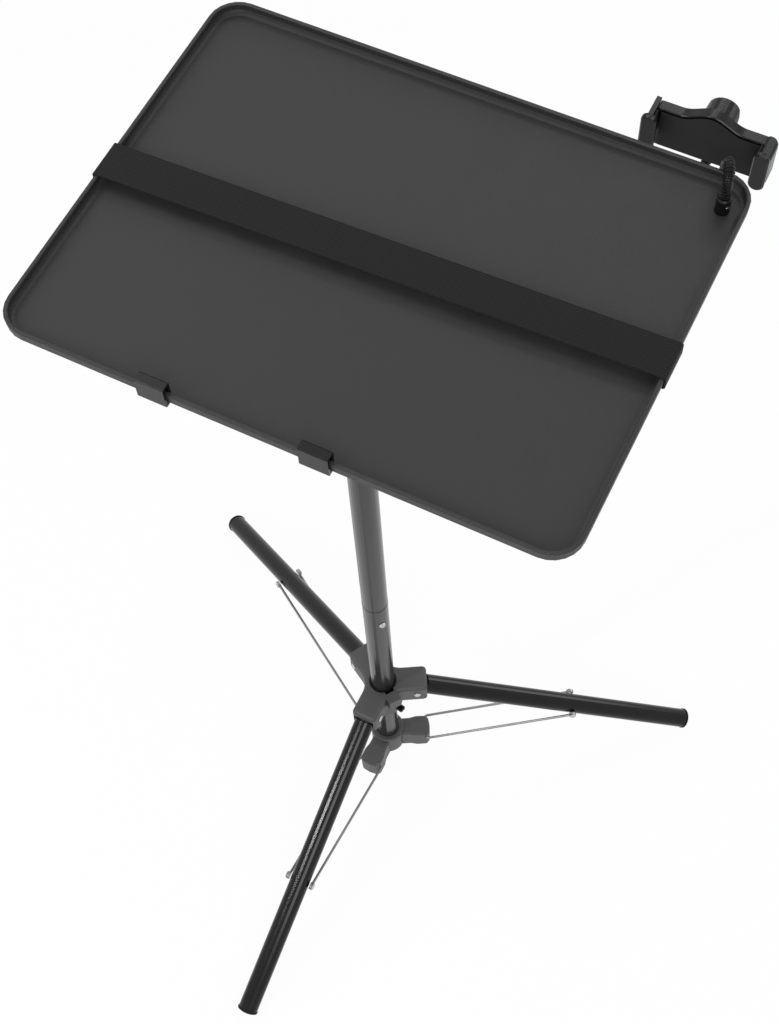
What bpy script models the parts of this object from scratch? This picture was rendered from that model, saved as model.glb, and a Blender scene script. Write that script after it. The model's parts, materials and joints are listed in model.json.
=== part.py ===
"""Folding tripod stand with a tray, for a projector, and a gooseneck phone holder.

Metres, +Z up, floor at z = 0. The pole stands on the Z axis, the tray's long side
runs along X, and the front of the stand is towards -Y.
"""
import math

import bmesh
import bpy
from mathutils import Matrix, Vector

# Clearances
GAP = 0.0003            # between touching faces
RUN = 0.0006            # each side of a piece that swings or slides

# Legs
LEG_AZIMUTHS = {"a": 150.0, "b": 30.0, "c": 270.0}
LEG_SLOPE = 28.8        # degrees below horizontal when spread
LEG_FOLD = 56.2         # degrees that a leg swings inwards to fold
LEG_OD = 0.019
LEG_WALL = 0.0012
PIVOT_R = 0.032         # leg pivot, distance from the pole's axis
PIVOT_Z = 0.160
FOOT_R = 0.305          # end of the leg tube, distance from the pole's axis
LEG_TOP = 0.0083        # start of the tube, along the leg from its pivot
KNUCKLE_R = 0.0079
KNUCKLE_PLUG = 0.030
FOOT_FLANGE = 0.0022
FOOT_PLUG = 0.022
FOOT_RIM = 0.0006       # how far the foot's flange stands proud of the tube
FOOT_FLAT = 0.0008      # depth of the flat cut under a foot

# Braces
BRACE_LEG_R = 0.186     # brace rivet on a spread leg, distance from the pole's axis
BRACE_IN = 0.004        # the brace's hole from the end of the lower hub's arm
BRACE_HUB_Z = 0.037
BRACE_D = 0.0026
BRACE_LANE = 0.0122     # each wire's distance from the middle of its leg
BRACE_BEND = 0.0026     # radius of the bend beside the lower hub
EYE_R = 0.0036
EYE_T = 0.0024
RIVET_R = 0.0019
RIVET_HEAD_R = 0.0034
RIVET_HEAD_T = 0.0013

# Pole
POLE_OD = 0.0226
POLE_WALL = 0.0012
POLE_BOTTOM = 0.014
SEAM_Z = 0.352
POLE_TOP = 0.635
FOOT_CAP_T = 0.006
SPIGOT_DOWN = 0.060
SPIGOT_UP = 0.033
SPIGOT_WALL = 0.0012
SPIGOT_FIT = 0.0002
BUTTON_DROP = 0.029     # the snap button's height below the seam
BUTTON_AZ = 325.0
BUTTON_R = 0.0031
BUTTON_PROUD = 0.0022
BUTTON_TRAVEL = 0.003
BUTTON_IN = 0.0042      # length of the button inside the pole
LEAF_W = 0.008
LEAF_L = 0.030
LEAF_T = 0.0008

# Star hub
HUB_TOP = 0.172
HUB_SKIRT = 0.0245      # height of the arms' side walls
HUB_ARM_W = 0.025
HUB_ARM_R = 0.042
HUB_WALL = 0.0024
HUB_FILLET = 0.020
HUB_CORNER = 0.004
HUB_ROUND = 0.0030
HUB_BARREL_R = 0.0175
HUB_BARREL_DROP = 0.050
HUB_CHANNEL_R = 0.0225
HUB_CEILING = 0.0034
LOCK_BOX_R = 0.0255     # far side of the box over the keyway
LOCK_BOX_W = 0.0125
LOCK_BOX_H = 0.0160
LOCK_BOX_UP = 0.0005    # its top over the hub's top
LOCK_BOX_ROUND = 0.0006
LINER_T = 0.0016
KEYWAY_W = 0.0092
KEYWAY_R = 0.0150
LOCK_SCREW_AZ = 348.0
LOCK_SCREW_R = 0.0020
LOCK_HEAD_R = 0.0036
LOCK_HEAD_L = 0.0060
LOCK_SCREW_RISE = 0.008

# Lower hub
LOW_BOTTOM = 0.017
LOW_TOP = 0.044
LOW_COLLAR_R = 0.0165
LOW_COLLAR_TOP = 0.048
LOW_ARM_R = 0.0430
LOW_NECK_W = 0.0180
LOW_END_W = 0.0212
LOW_END_DROP = 0.0045

# Height clamp and mast
MAST_OD = 0.019
MAST_WALL = 0.0012
MAST_IN = 0.180         # length inside the pole as photographed
MAST_OUT = 0.093        # length above the pole
PLUG_T = 0.008
CLAMP_H = 0.036
CLAMP_LAP = 0.014
CLAMP_OD = 0.031
CLAMP_BOSS_R = 0.0085
CLAMP_BOSS_OUT = 0.0215
KNOB_SHANK_R = 0.0030
KNOB_R = 0.0135
KNOB_L = 0.014
KNOB_LOBES = 6

# Tilt head
TILT_RISE = 0.017       # tilt axis above the mast
HEAD_SOCKET_OD = 0.0245
HEAD_SOCKET_H = 0.024
TONGUE_T = 0.019
TONGUE_R = 0.011
BRACKET_X = 0.100
BRACKET_Y = 0.080
BRACKET_T = 0.0020
EAR_T = 0.0025
BOLT_R = 0.0030
BOLT_HEAD_R = 0.0062
BOLT_HEAD_L = 0.0045
TILT_KNOB_R = 0.0114
TILT_KNOB_L = 0.016
STUDS = (("left", -0.040, 0.0), ("right", 0.040, 0.0))
STUD_R = 0.0020
STUD_L = 0.0060
NUT_AF = 0.0070
NUT_T = 0.0028

# Tray
TRAY_X = 0.400
TRAY_Y = 0.3064
TRAY_BACK = 0.050       # the tray's middle lies this far behind the pole
TRAY_RISE = 0.0448      # top of the rim above the tilt axis
TRAY_DEPTH = 0.0080
TRAY_FLOOR = 0.0015
TRAY_RIM = 0.0030
TRAY_CORNER = 0.022
TRAY_FILLET = 0.0030
TRAY_ROUND = 0.0012
NECK_SEAT = 0.0004      # depth of the round seat in the floor under the neck's foot

# Strap
STRAP_W = 0.0285
STRAP_T = 0.0012
STRAP_Y_LEFT = 0.0395
STRAP_Y_RIGHT = 0.0510
STRAP_FLAP = 0.028
STRAP_RIVET_R = 0.0045
STRAP_RIVET_T = 0.0015

# Stop clips
CLIP_X = {"left": -0.081, "right": 0.0325}
CLIP_W = 0.0207
CLIP_T = 0.0020
CLIP_RISE = 0.0072
CLIP_LIP = 0.0040

# Gooseneck
NECK_D = 0.0076
NECK_RIB = 0.0005
NECK_PITCH = 0.0032
NECK_FOOT_R = 0.0050
NECK_FOOT_H = 0.0136
NECK_SHANK_R = 0.0030
NECK_NUT_AF = 0.0100
NECK_NUT_T = 0.0040
NECK_END_L = 0.008
NECK_IN_X = 0.0165      # the neck's foot from the tray's right edge
NECK_IN_Y = 0.0252      # and from its rear edge
NECK_ROUTE = (          # from the top of the neck's foot
    (0.0000, 0.0000, 0.0000), (0.0000, 0.0000, 0.0073), (-0.0007, 0.0026, 0.0134),
    (-0.0025, 0.0090, 0.0166), (-0.0049, 0.0154, 0.0143), (-0.0075, 0.0230, 0.0053),
    (-0.0093, 0.0286, -0.0047), (-0.0100, 0.0306, -0.0157), (-0.0104, 0.0309, -0.0277),
    (-0.0107, 0.0309, -0.0417), (-0.0113, 0.0311, -0.0557), (-0.0130, 0.0338, -0.0687),
    (-0.0170, 0.0410, -0.0782), (-0.0225, 0.0510, -0.0827), (-0.0290, 0.0620, -0.0867),
    (-0.0355, 0.0730, -0.0947), (-0.0405, 0.0850, -0.1057), (-0.0430, 0.0990, -0.1142),
    (-0.0425, 0.1140, -0.1157), (-0.0400, 0.1250, -0.1092), (-0.0370, 0.1292, -0.0967),
    (-0.0340, 0.1260, -0.0832), (-0.0320, 0.1185, -0.0717), (-0.0305, 0.1100, -0.0582),
    (-0.0300, 0.1030, -0.0477), (-0.0300, 0.0974, -0.0406), (-0.0300, 0.0917, -0.0349),
)

# Phone holder
NECK_DROOP = 45.0       # degrees that the ball joint's axis falls towards the back
STUD_REACH = 0.0100     # from the ball's middle to the neck's ferrule
BALL_R = 0.0060
BALL_NECK_R = 0.0030
CUP_R = 0.0075
CUP_FIT = 0.0003
CUP_SIDES = 24
CUP_PAST = 0.0024       # how far the cup reaches past the ball's middle
NUT_OD = 0.0204
NUT_END_T = 0.0045
NUT_HOLE_R = 0.0056
PLATE_AHEAD = 0.0230    # the plate's front face ahead of the ball
PLATE_T = 0.0080
PLATE_HALF = 0.0380
PLATE_UP = 0.0159       # above the ball
PLATE_DOWN = 0.0198     # below the ball
PLATE_CREST = 0.0083
PLATE_CREST_HALF = 0.0230
CREST_STEPS = 26
COVER_T = 0.0020
HOUSING_R = 0.0120      # the ball's housing behind the plate
HOUSING_ROOT = 0.0055   # how far its foot on the cover flares out
HOUSING_BACK = 0.0080   # its end, behind the ball
HOUSING_END = 0.0002    # where the nut meets it, along the joint's axis from the ball
HOUSING_ROUND = 0.0016
JAW_REACH = 0.0160      # from the plate's face to the front of the lip
JAW_WALL = 0.0035
FIXED_WALL = 0.0077     # how far the fixed jaw stands out from the plate
FIXED_ROUND = 0.0020
JAW_UP = 0.0240
JAW_DOWN = 0.0116
JAW_INSET = 0.0060      # the side walls are lower than the lips
LIP_W = 0.0110
LIP_T = 0.0035
LIP_OVER = 0.0025       # how far the sliding lip stands out past its wall
LIP_ROUND = 0.0010
SLOT_H = 0.0200
SLOT_T = 0.0040
SLOT_L = 0.0500
TONGUE_L = 0.0350
PAD_T = 0.0012
SPRING_R = 0.0014
SPRING_WIRE = 0.0005
SPRING_TURNS = 7

ROUND = 28              # sides of large round pieces
SMALL = 16              # sides of small ones
MERGE = 0.00001

SLOPE = math.radians(LEG_SLOPE)
FOLDED = math.radians(LEG_SLOPE + LEG_FOLD)
LEG_LENGTH = (FOOT_R - PIVOT_R) / math.cos(SLOPE)
LEG_BRACE = (BRACE_LEG_R - PIVOT_R) / math.cos(SLOPE)
BRACE_LEG_Z = PIVOT_Z - LEG_BRACE * math.sin(SLOPE)
BRACE_HUB_R = LOW_ARM_R - BRACE_IN
BRACE_LENGTH = math.hypot(BRACE_LEG_R - BRACE_HUB_R, BRACE_LEG_Z - BRACE_HUB_Z)
BRACE_RISE = math.atan2(BRACE_LEG_Z - BRACE_HUB_Z, BRACE_LEG_R - BRACE_HUB_R)
FOLDED_BRACE_R = PIVOT_R + LEG_BRACE * math.cos(FOLDED)
FOLDED_BRACE_UP = math.sqrt(BRACE_LENGTH ** 2 - (FOLDED_BRACE_R - BRACE_HUB_R) ** 2)
HUB_TRAVEL = BRACE_HUB_Z + FOLDED_BRACE_UP + LEG_BRACE * math.sin(FOLDED) - PIVOT_Z
BRACE_FOLD = math.atan2(FOLDED_BRACE_UP, FOLDED_BRACE_R - BRACE_HUB_R) - BRACE_RISE
POLE_R = POLE_OD / 2
LEG_R = LEG_OD / 2
MAST_R = MAST_OD / 2
MAST_BOTTOM = POLE_TOP - MAST_IN
MAST_TOP = POLE_TOP + MAST_OUT
TILT_Z = MAST_TOP + TILT_RISE
TRAY_TOP = TILT_Z + TRAY_RISE
FLOOR_Z = TRAY_TOP - TRAY_DEPTH
UNDER_Z = FLOOR_Z - TRAY_FLOOR
NECK_FOOT = Vector((TRAY_X / 2 - NECK_IN_X, TRAY_BACK + TRAY_Y / 2 - NECK_IN_Y, FLOOR_Z + NECK_FOOT_H + GAP))
NECK_PATH = [NECK_FOOT + Vector(step) for step in NECK_ROUTE]
DROOP = math.radians(NECK_DROOP)
STUD_WAY = Vector((0.0, math.cos(DROOP), -math.sin(DROOP)))
BALL = NECK_PATH[-1] - STUD_WAY * (STUD_REACH + NECK_END_L + GAP)

MATERIALS = {}


def clear_scene():
    """Remove whatever the open file holds."""
    for item in list(bpy.data.objects):
        bpy.data.objects.remove(item, do_unlink=True)


def material(name, colour, roughness, metallic=0.0):
    """A plain Principled material with this colour."""
    made = bpy.data.materials.new(name)
    made.use_nodes = True
    shader = made.node_tree.nodes["Principled BSDF"]
    shader.inputs["Base Color"].default_value = (*colour, 1.0)
    shader.inputs["Roughness"].default_value = roughness
    shader.inputs["Metallic"].default_value = metallic
    MATERIALS[name] = made


def finish(name, shape, finish_name, parent, place=None, smooth=35.0):
    """Turn a bmesh into a named object under a parent, at a local place."""
    bmesh.ops.remove_doubles(shape, verts=shape.verts, dist=MERGE)
    bmesh.ops.recalc_face_normals(shape, faces=shape.faces)
    mesh = bpy.data.meshes.new(name)
    shape.to_mesh(mesh)
    shape.free()
    mesh.shade_smooth()
    mesh.set_sharp_from_angle(angle=math.radians(smooth))
    made = bpy.data.objects.new(name, mesh)
    bpy.context.collection.objects.link(made)
    if finish_name:
        mesh.materials.append(MATERIALS[finish_name])
    made.parent = parent
    if place is not None:
        made.matrix_local = place
    return made


def empty(name, parent, place):
    """An empty that marks a joint's axis or a sub-assembly's place."""
    made = bpy.data.objects.new(name, None)
    made.empty_display_size = 0.01
    bpy.context.collection.objects.link(made)
    made.parent = parent
    made.matrix_local = place
    return made


def at(x=0.0, y=0.0, z=0.0):
    """A place moved by these distances."""
    return Matrix.Translation((x, y, z))


def turned(axis, degrees):
    """A place turned about one axis."""
    return Matrix.Rotation(math.radians(degrees), 4, axis)


def lathe(profile, sides=ROUND):
    """Turn a profile of (radius, height) points about Z. Its ends close on the axis or on each other."""
    shape = bmesh.new()
    rings = []
    for radius, height in profile:
        if radius < MERGE:
            rings.append([shape.verts.new((0.0, 0.0, height))])
            continue
        ring = []
        for side in range(sides):
            angle = 2 * math.pi * side / sides
            ring.append(shape.verts.new((radius * math.cos(angle), radius * math.sin(angle), height)))
        rings.append(ring)
    closed = len(rings[0]) > 1 and len(rings[-1]) > 1
    pairs = list(zip(rings, rings[1:]))
    if closed:
        pairs.append((rings[-1], rings[0]))
    for low, high in pairs:
        join_rings(shape, low, high)
    return shape


def join_rings(shape, low, high):
    """Bridge two rings of vertices, either of which may be a single point."""
    count = max(len(low), len(high))
    if count == 1:
        return
    for side in range(count):
        after = (side + 1) % count
        corners = [low[side % len(low)], low[after % len(low)], high[after % len(high)], high[side % len(high)]]
        unique = list(dict.fromkeys(corners))
        shape.faces.new(unique)


def loft(rings, closed=False):
    """Skin a list of point rings. Open stacks get flat ends."""
    shape = bmesh.new()
    skins = [[shape.verts.new(point) for point in ring] for ring in rings]
    for low, high in zip(skins, skins[1:]):
        join_rings(shape, low, high)
    if closed:
        join_rings(shape, skins[-1], skins[0])
    else:
        shape.faces.new(skins[0])
        shape.faces.new(skins[-1])
    return shape


def prism(outline, low, high, axis="Z"):
    """Extrude a flat outline between two heights along X, Y or Z."""
    orders = {"Z": lambda u, v, w: (u, v, w), "Y": lambda u, v, w: (u, w, v), "X": lambda u, v, w: (w, u, v)}
    order = orders[axis]
    return loft([[order(u, v, height) for u, v in outline] for height in (low, high)])


def block(size, centre=(0.0, 0.0, 0.0)):
    """A box of this size about a centre."""
    half = [length / 2 for length in size]
    outline = [(-half[0], -half[1]), (half[0], -half[1]), (half[0], half[1]), (-half[0], half[1])]
    shape = prism(outline, -half[2], half[2])
    bmesh.ops.translate(shape, verts=shape.verts, vec=centre)
    return shape


def bevelled(shape, width, segments=2, angle=40.0):
    """Round the edges of a shape that are sharper than an angle."""
    bmesh.ops.recalc_face_normals(shape, faces=shape.faces)
    limit = math.radians(angle)
    edges = [edge for edge in shape.edges if edge.calc_face_angle(0.0) > limit]
    bmesh.ops.bevel(shape, geom=edges, offset=width, segments=segments, profile=0.5, affect="EDGES")
    return shape


def rod(start, end, radius, sides=SMALL):
    """A round bar between two points."""
    start = Vector(start)
    along = Vector(end) - start
    shape = lathe([(0.0, 0.0), (radius, 0.0), (radius, along.length), (0.0, along.length)], sides)
    place = Matrix.Translation(start) @ along.to_track_quat("Z", "Y").to_matrix().to_4x4()
    bmesh.ops.transform(shape, matrix=place, verts=shape.verts)
    return shape


def moved(shape, place):
    """Move a shape by a matrix."""
    bmesh.ops.transform(shape, matrix=place, verts=shape.verts)
    return shape


def boolean(target, shape, operation, name):
    """Cut a shape from an object, or join it on, with a hidden cutter."""
    cutter = finish(name, shape, None, target.parent, target.matrix_local)
    cutter.hide_render = True
    cutter.hide_viewport = False
    cutter.display_type = "WIRE"
    modifier = target.modifiers.new(name, "BOOLEAN")
    modifier.operation = operation
    modifier.solver = "EXACT"
    modifier.object = cutter


def cut(target, shape):
    """Cut a shape, given in the object's own frame, out of the object."""
    boolean(target, shape, "DIFFERENCE", f"{target.name}-cut-{len(target.modifiers)}")


def join(target, shape):
    """Join a shape, given in the object's own frame, to the object."""
    boolean(target, shape, "UNION", f"{target.name}-join-{len(target.modifiers)}")


def arc(centre, radius, start, end, steps):
    """Points on an arc, in degrees, both ends included."""
    points = []
    for step in range(steps + 1):
        angle = math.radians(start + (end - start) * step / steps)
        points.append((centre[0] + radius * math.cos(angle), centre[1] + radius * math.sin(angle)))
    return points


def rounded_rectangle(half_x, half_y, radius, steps=6):
    """Outline of a rectangle with round corners, anticlockwise."""
    points = []
    corners = ((1, 1, 0), (-1, 1, 90), (-1, -1, 180), (1, -1, 270))
    for sign_x, sign_y, start in corners:
        centre = (sign_x * (half_x - radius), sign_y * (half_y - radius))
        points += arc(centre, radius, start, start + 90, steps)
    return points


def smooth_route(points, per_span):
    """Points on a centripetal Catmull-Rom curve through the route's points."""
    route = [Vector(point) for point in points]
    route = [2 * route[0] - route[1]] + route + [2 * route[-1] - route[-2]]
    made = []
    for first, second, third, fourth in zip(route, route[1:], route[2:], route[3:]):
        knots = [0.0]
        for one, two in ((first, second), (second, third), (third, fourth)):
            knots.append(knots[-1] + math.sqrt((two - one).length))
        for step in range(per_span):
            knot = knots[1] + (knots[2] - knots[1]) * step / per_span
            level = [first, second, third, fourth]
            for spans in (((0, 1), (1, 2), (2, 3)), ((0, 2), (1, 3)), ((1, 2),)):
                level = [
                    level[index].lerp(level[index + 1], (knot - knots[start]) / (knots[end] - knots[start]))
                    for index, (start, end) in enumerate(spans)
                ]
            made.append(level[0])
    made.append(route[-2])
    return made


def even_points(points, count):
    """Walk along a polyline and give points at equal distances."""
    lengths = [0.0]
    for one, two in zip(points, points[1:]):
        lengths.append(lengths[-1] + (two - one).length)
    made = []
    span = 0
    for step in range(count + 1):
        distance = lengths[-1] * step / count
        while span < len(points) - 2 and lengths[span + 1] < distance:
            span += 1
        share = (distance - lengths[span]) / (lengths[span + 1] - lengths[span])
        made.append(points[span].lerp(points[span + 1], min(share, 1.0)))
    return made, lengths[-1]


def sweep(points, radii, sides=8):
    """A round tube along points, with its own radius at each of them."""
    rings = []
    across = None
    last = len(points) - 1
    for index, point in enumerate(points):
        along = (points[min(index + 1, last)] - points[max(index - 1, 0)]).normalized()
        if across is None:
            across = along.orthogonal().normalized()
        across = (across - along * across.dot(along)).normalized()
        upward = along.cross(across)
        ring = []
        for side in range(sides):
            angle = 2 * math.pi * side / sides
            offset = across * math.cos(angle) + upward * math.sin(angle)
            ring.append(point + offset * radii[index])
        rings.append(ring)
    return loft(rings)


def tube(outer, wall, low, high, sides=ROUND):
    """A straight tube along Z."""
    inner = outer - wall
    return lathe([(outer, low), (outer, high), (inner, high), (inner, low)], sides)


def lobed_outline(radius, lobes, depth, steps):
    """A round outline with soft lobes, for a grip."""
    points = []
    for step in range(steps):
        angle = 2 * math.pi * step / steps
        reach = radius - depth * (0.5 - 0.5 * math.cos(lobes * angle))
        points.append((reach * math.cos(angle), reach * math.sin(angle)))
    return points


def lobed_knob(radius, length, lobes, depth=0.0016):
    """A grip with soft lobes along Z, from z = 0."""
    rings = []
    for height, inset in ((0.0, 0.0016), (0.0016, 0.0), (length - 0.002, 0.0), (length, 0.0022)):
        outline = lobed_outline(radius - inset, lobes, depth, 8 * lobes)
        rings.append([(x, y, height) for x, y in outline])
    return loft(rings)


def hexagon(across_flats):
    """Outline of a nut."""
    radius = across_flats / math.sqrt(3)
    return [(radius * math.cos(math.radians(60 * k)), radius * math.sin(math.radians(60 * k))) for k in range(6)]


def ring_nut(across_flats, hole, low, high):
    """A hexagon nut along Z."""
    outer = hexagon(across_flats)
    inner = hexagon(2 * hole)
    rings = [
        [(x, y, low) for x, y in outer], [(x, y, high) for x, y in outer],
        [(x, y, high) for x, y in inner], [(x, y, low) for x, y in inner],
    ]
    return loft(rings, closed=True)


def make_materials():
    """Colours of the finishes."""
    material("black_enamel", (0.028, 0.028, 0.030), 0.28)
    material("grey_enamel", (0.085, 0.085, 0.090), 0.38)
    material("powder_coat", (0.065, 0.065, 0.067), 0.55)
    material("hub_plastic", (0.060, 0.060, 0.062), 0.62)
    material("black_plastic", (0.018, 0.018, 0.019), 0.45)
    material("holder_plastic", (0.050, 0.050, 0.052), 0.50)
    material("rubber", (0.012, 0.012, 0.012), 0.80)
    material("elastic", (0.016, 0.016, 0.017), 0.92)
    material("bare_steel", (0.62, 0.62, 0.64), 0.25, 1.0)
    material("dark_steel", (0.10, 0.10, 0.11), 0.35, 1.0)


def hub_outline(inset):
    """Plan of the star hub, drawn in by an inset, anticlockwise from arm b."""
    half = HUB_ARM_W / 2 - inset
    fillet = HUB_FILLET + inset
    corner = max(HUB_CORNER - inset, 0.0008)
    centre_r = (half + fillet) / math.sin(math.radians(60))
    reach = HUB_ARM_R - inset
    points = []
    for azimuth in sorted(LEG_AZIMUTHS.values()):
        right = arc((reach - corner, -half + corner), corner, -90, 0, 3)
        left = arc((reach - corner, half - corner), corner, 0, 90, 3)
        web_centre = (centre_r * 0.5, centre_r * math.sin(math.radians(60)))
        web = arc(web_centre, fillet, 270, 210, 6)
        for x, y in right + left + web:
            turn = math.radians(azimuth)
            points.append((x * math.cos(turn) - y * math.sin(turn), x * math.sin(turn) + y * math.cos(turn)))
    return points


def radial(azimuth):
    """A place turned so that its X points out at an azimuth."""
    return turned("Z", azimuth)


def build_star_hub(stand):
    """The sliding hub with its covers over the leg tops, its liner, rivets and lock screw."""
    hub = empty("hub_slide", stand, at(0, 0, PIVOT_Z))
    top = HUB_TOP - PIVOT_Z
    levels = ((top - HUB_SKIRT, 0.0), (top - HUB_ROUND, 0.0), (top - HUB_ROUND * 0.3, HUB_ROUND * 0.3),
              (top, HUB_ROUND))
    rings = [[(x, y, height) for x, y in hub_outline(inset)] for height, inset in levels]
    star = finish("star_hub", loft(rings), "hub_plastic", hub)
    barrel_low = top - HUB_BARREL_DROP
    barrel_top = top - HUB_ROUND
    barrel = [(0.0, barrel_low), (HUB_BARREL_R - 0.001, barrel_low), (HUB_BARREL_R, barrel_low + 0.001),
              (HUB_BARREL_R, barrel_top), (0.0, barrel_top)]
    join(star, lathe(barrel))
    box_in = POLE_R
    box_mid = top + LOCK_BOX_UP - LOCK_BOX_H / 2
    box = block((LOCK_BOX_R - box_in, LOCK_BOX_W, LOCK_BOX_H), ((LOCK_BOX_R + box_in) / 2, 0, box_mid))
    join(star, moved(bevelled(box, LOCK_BOX_ROUND, 1), radial(BUTTON_AZ)))
    cut(star, rod((0, 0, barrel_low - 0.01), (0, 0, top + 0.01), POLE_R + LINER_T + GAP, ROUND))
    channel_w = LEG_OD + 2 * RUN
    ceiling = top - HUB_CEILING
    slant_r = PIVOT_R + (LEG_R + GAP) * math.sin(SLOPE)
    slant_z = (LEG_R + GAP) * math.cos(SLOPE)
    beyond = HUB_ARM_R + 0.01
    flat_r = slant_r + (slant_z - ceiling) / math.tan(SLOPE)
    slant_end = slant_z - (beyond - slant_r) * math.tan(SLOPE)
    channel = [(HUB_CHANNEL_R, -0.03), (beyond, -0.03), (beyond, slant_end), (flat_r, ceiling),
               (HUB_CHANNEL_R, ceiling)]
    for azimuth in LEG_AZIMUTHS.values():
        room = moved(prism(channel, -channel_w / 2, channel_w / 2, "Y"), radial(azimuth))
        cut(star, room)
        hole = rod((PIVOT_R, -HUB_ARM_W, 0), (PIVOT_R, HUB_ARM_W, 0), RIVET_R + GAP)
        cut(star, moved(hole, radial(azimuth)))
    notch = block((KEYWAY_R, KEYWAY_W, 0.2), (KEYWAY_R / 2, 0, 0))
    cut(star, moved(notch, radial(BUTTON_AZ)))
    screw_z = barrel_low + LOCK_SCREW_RISE
    screw_hole = rod((POLE_R, 0, screw_z), (HUB_BARREL_R + 0.004, 0, screw_z), LOCK_SCREW_R + GAP)
    cut(star, moved(screw_hole, radial(LOCK_SCREW_AZ)))

    liner = finish("hub_liner", tube(POLE_R + LINER_T, LINER_T - GAP, barrel_low, top - 0.0005),
                   "black_plastic", hub)
    split = block((0.02, KEYWAY_W, 0.2), (POLE_R + 0.0095, 0, 0))
    cut(liner, moved(split, radial(BUTTON_AZ)))
    liner_hole = rod((POLE_R - 0.002, 0, screw_z), (POLE_R + 0.01, 0, screw_z), LOCK_SCREW_R + GAP)
    cut(liner, moved(liner_hole, radial(LOCK_SCREW_AZ)))

    for letter, azimuth in LEG_AZIMUTHS.items():
        finish(f"leg_{letter}_pivot_pin", pivot_rivet(HUB_ARM_W), "bare_steel", hub,
               radial(azimuth) @ at(PIVOT_R, 0, 0))

    screw = [(0.0, POLE_R + GAP), (LOCK_SCREW_R, POLE_R + GAP), (LOCK_SCREW_R, HUB_BARREL_R + GAP),
             (LOCK_HEAD_R, HUB_BARREL_R + GAP), (LOCK_HEAD_R, HUB_BARREL_R + LOCK_HEAD_L - 0.001),
             (LOCK_HEAD_R - 0.001, HUB_BARREL_R + LOCK_HEAD_L), (0.0, HUB_BARREL_R + LOCK_HEAD_L)]
    lock_axis = empty("lock_screw_axis", hub, radial(LOCK_SCREW_AZ) @ at(0, 0, screw_z) @ turned("Y", 90))
    lock = finish("hub_lock_screw", lathe(screw, 12), "black_plastic", lock_axis)
    slot = block((LOCK_HEAD_R * 3, 0.0010, 0.003), (0, 0, HUB_BARREL_R + LOCK_HEAD_L))
    cut(lock, slot)
    return hub


def pivot_rivet(width):
    """A rivet along Y with a head outside each wall."""
    half = width / 2
    profile = [(0.0, -half - GAP - RIVET_HEAD_T), (RIVET_HEAD_R * 0.7, -half - GAP - RIVET_HEAD_T),
               (RIVET_HEAD_R, -half - GAP - RIVET_HEAD_T * 0.3), (RIVET_HEAD_R, -half - GAP), (RIVET_R, -half - GAP),
               (RIVET_R, half + GAP), (RIVET_HEAD_R, half + GAP), (RIVET_HEAD_R, half + GAP + RIVET_HEAD_T * 0.3),
               (RIVET_HEAD_R * 0.7, half + GAP + RIVET_HEAD_T), (0.0, half + GAP + RIVET_HEAD_T)]
    return moved(lathe(profile, 12), turned("X", -90))


def build_leg(hub, letter, azimuth):
    """One leg: tube, knuckle and the end plug that is its foot."""
    place = radial(azimuth) @ at(PIVOT_R, 0, 0) @ turned("Y", LEG_SLOPE)
    leg = empty(f"leg_{letter}_pivot", hub, place)
    along = turned("Y", 90)
    shell = moved(tube(LEG_R, LEG_WALL, LEG_TOP, LEG_LENGTH, 24), along)
    pipe = finish(f"leg_{letter}_tube", shell, "black_enamel", leg)
    cut(pipe, rod((LEG_BRACE, -LEG_OD, 0), (LEG_BRACE, LEG_OD, 0), RIVET_R + GAP, 12))

    bore = LEG_R - LEG_WALL - GAP
    knuckle = finish(f"leg_{letter}_knuckle", rod((0, -LEG_R, 0), (0, LEG_R, 0), KNUCKLE_R, 20),
                     "black_plastic", leg)
    join(knuckle, rod((0.001, 0, 0), (LEG_TOP + KNUCKLE_PLUG, 0, 0), bore, 20))
    cut(knuckle, rod((0, -LEG_OD, 0), (0, LEG_OD, 0), RIVET_R + GAP, 12))

    flange = LEG_R + FOOT_RIM
    foot = [(0.0, LEG_LENGTH - FOOT_PLUG), (bore - 0.001, LEG_LENGTH - FOOT_PLUG),
            (bore, LEG_LENGTH - FOOT_PLUG + 0.001), (bore, LEG_LENGTH + GAP), (flange, LEG_LENGTH + GAP),
            (flange, LEG_LENGTH + FOOT_FLANGE * 0.7), (flange - 0.0012, LEG_LENGTH + FOOT_FLANGE),
            (0.0, LEG_LENGTH + FOOT_FLANGE)]
    tip = finish(f"leg_{letter}_foot", moved(lathe(foot, 24), along), "rubber", leg)
    world_low = foot_low_point()
    down = turned("Y", -LEG_SLOPE)
    sole = block((0.08, 0.08, 0.02), (0, 0, -0.01 + world_low + FOOT_FLAT))
    reach = (LEG_LENGTH * math.cos(SLOPE), 0, 0)
    cut(tip, moved(sole, down @ at(*reach)))
    return leg


def foot_low_point():
    """Height of a foot's lowest edge below the leg's pivot, before its flat is cut."""
    flange = LEG_R + FOOT_RIM
    return -(LEG_LENGTH + FOOT_FLANGE * 0.7) * math.sin(SLOPE) - flange * math.cos(SLOPE)


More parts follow.
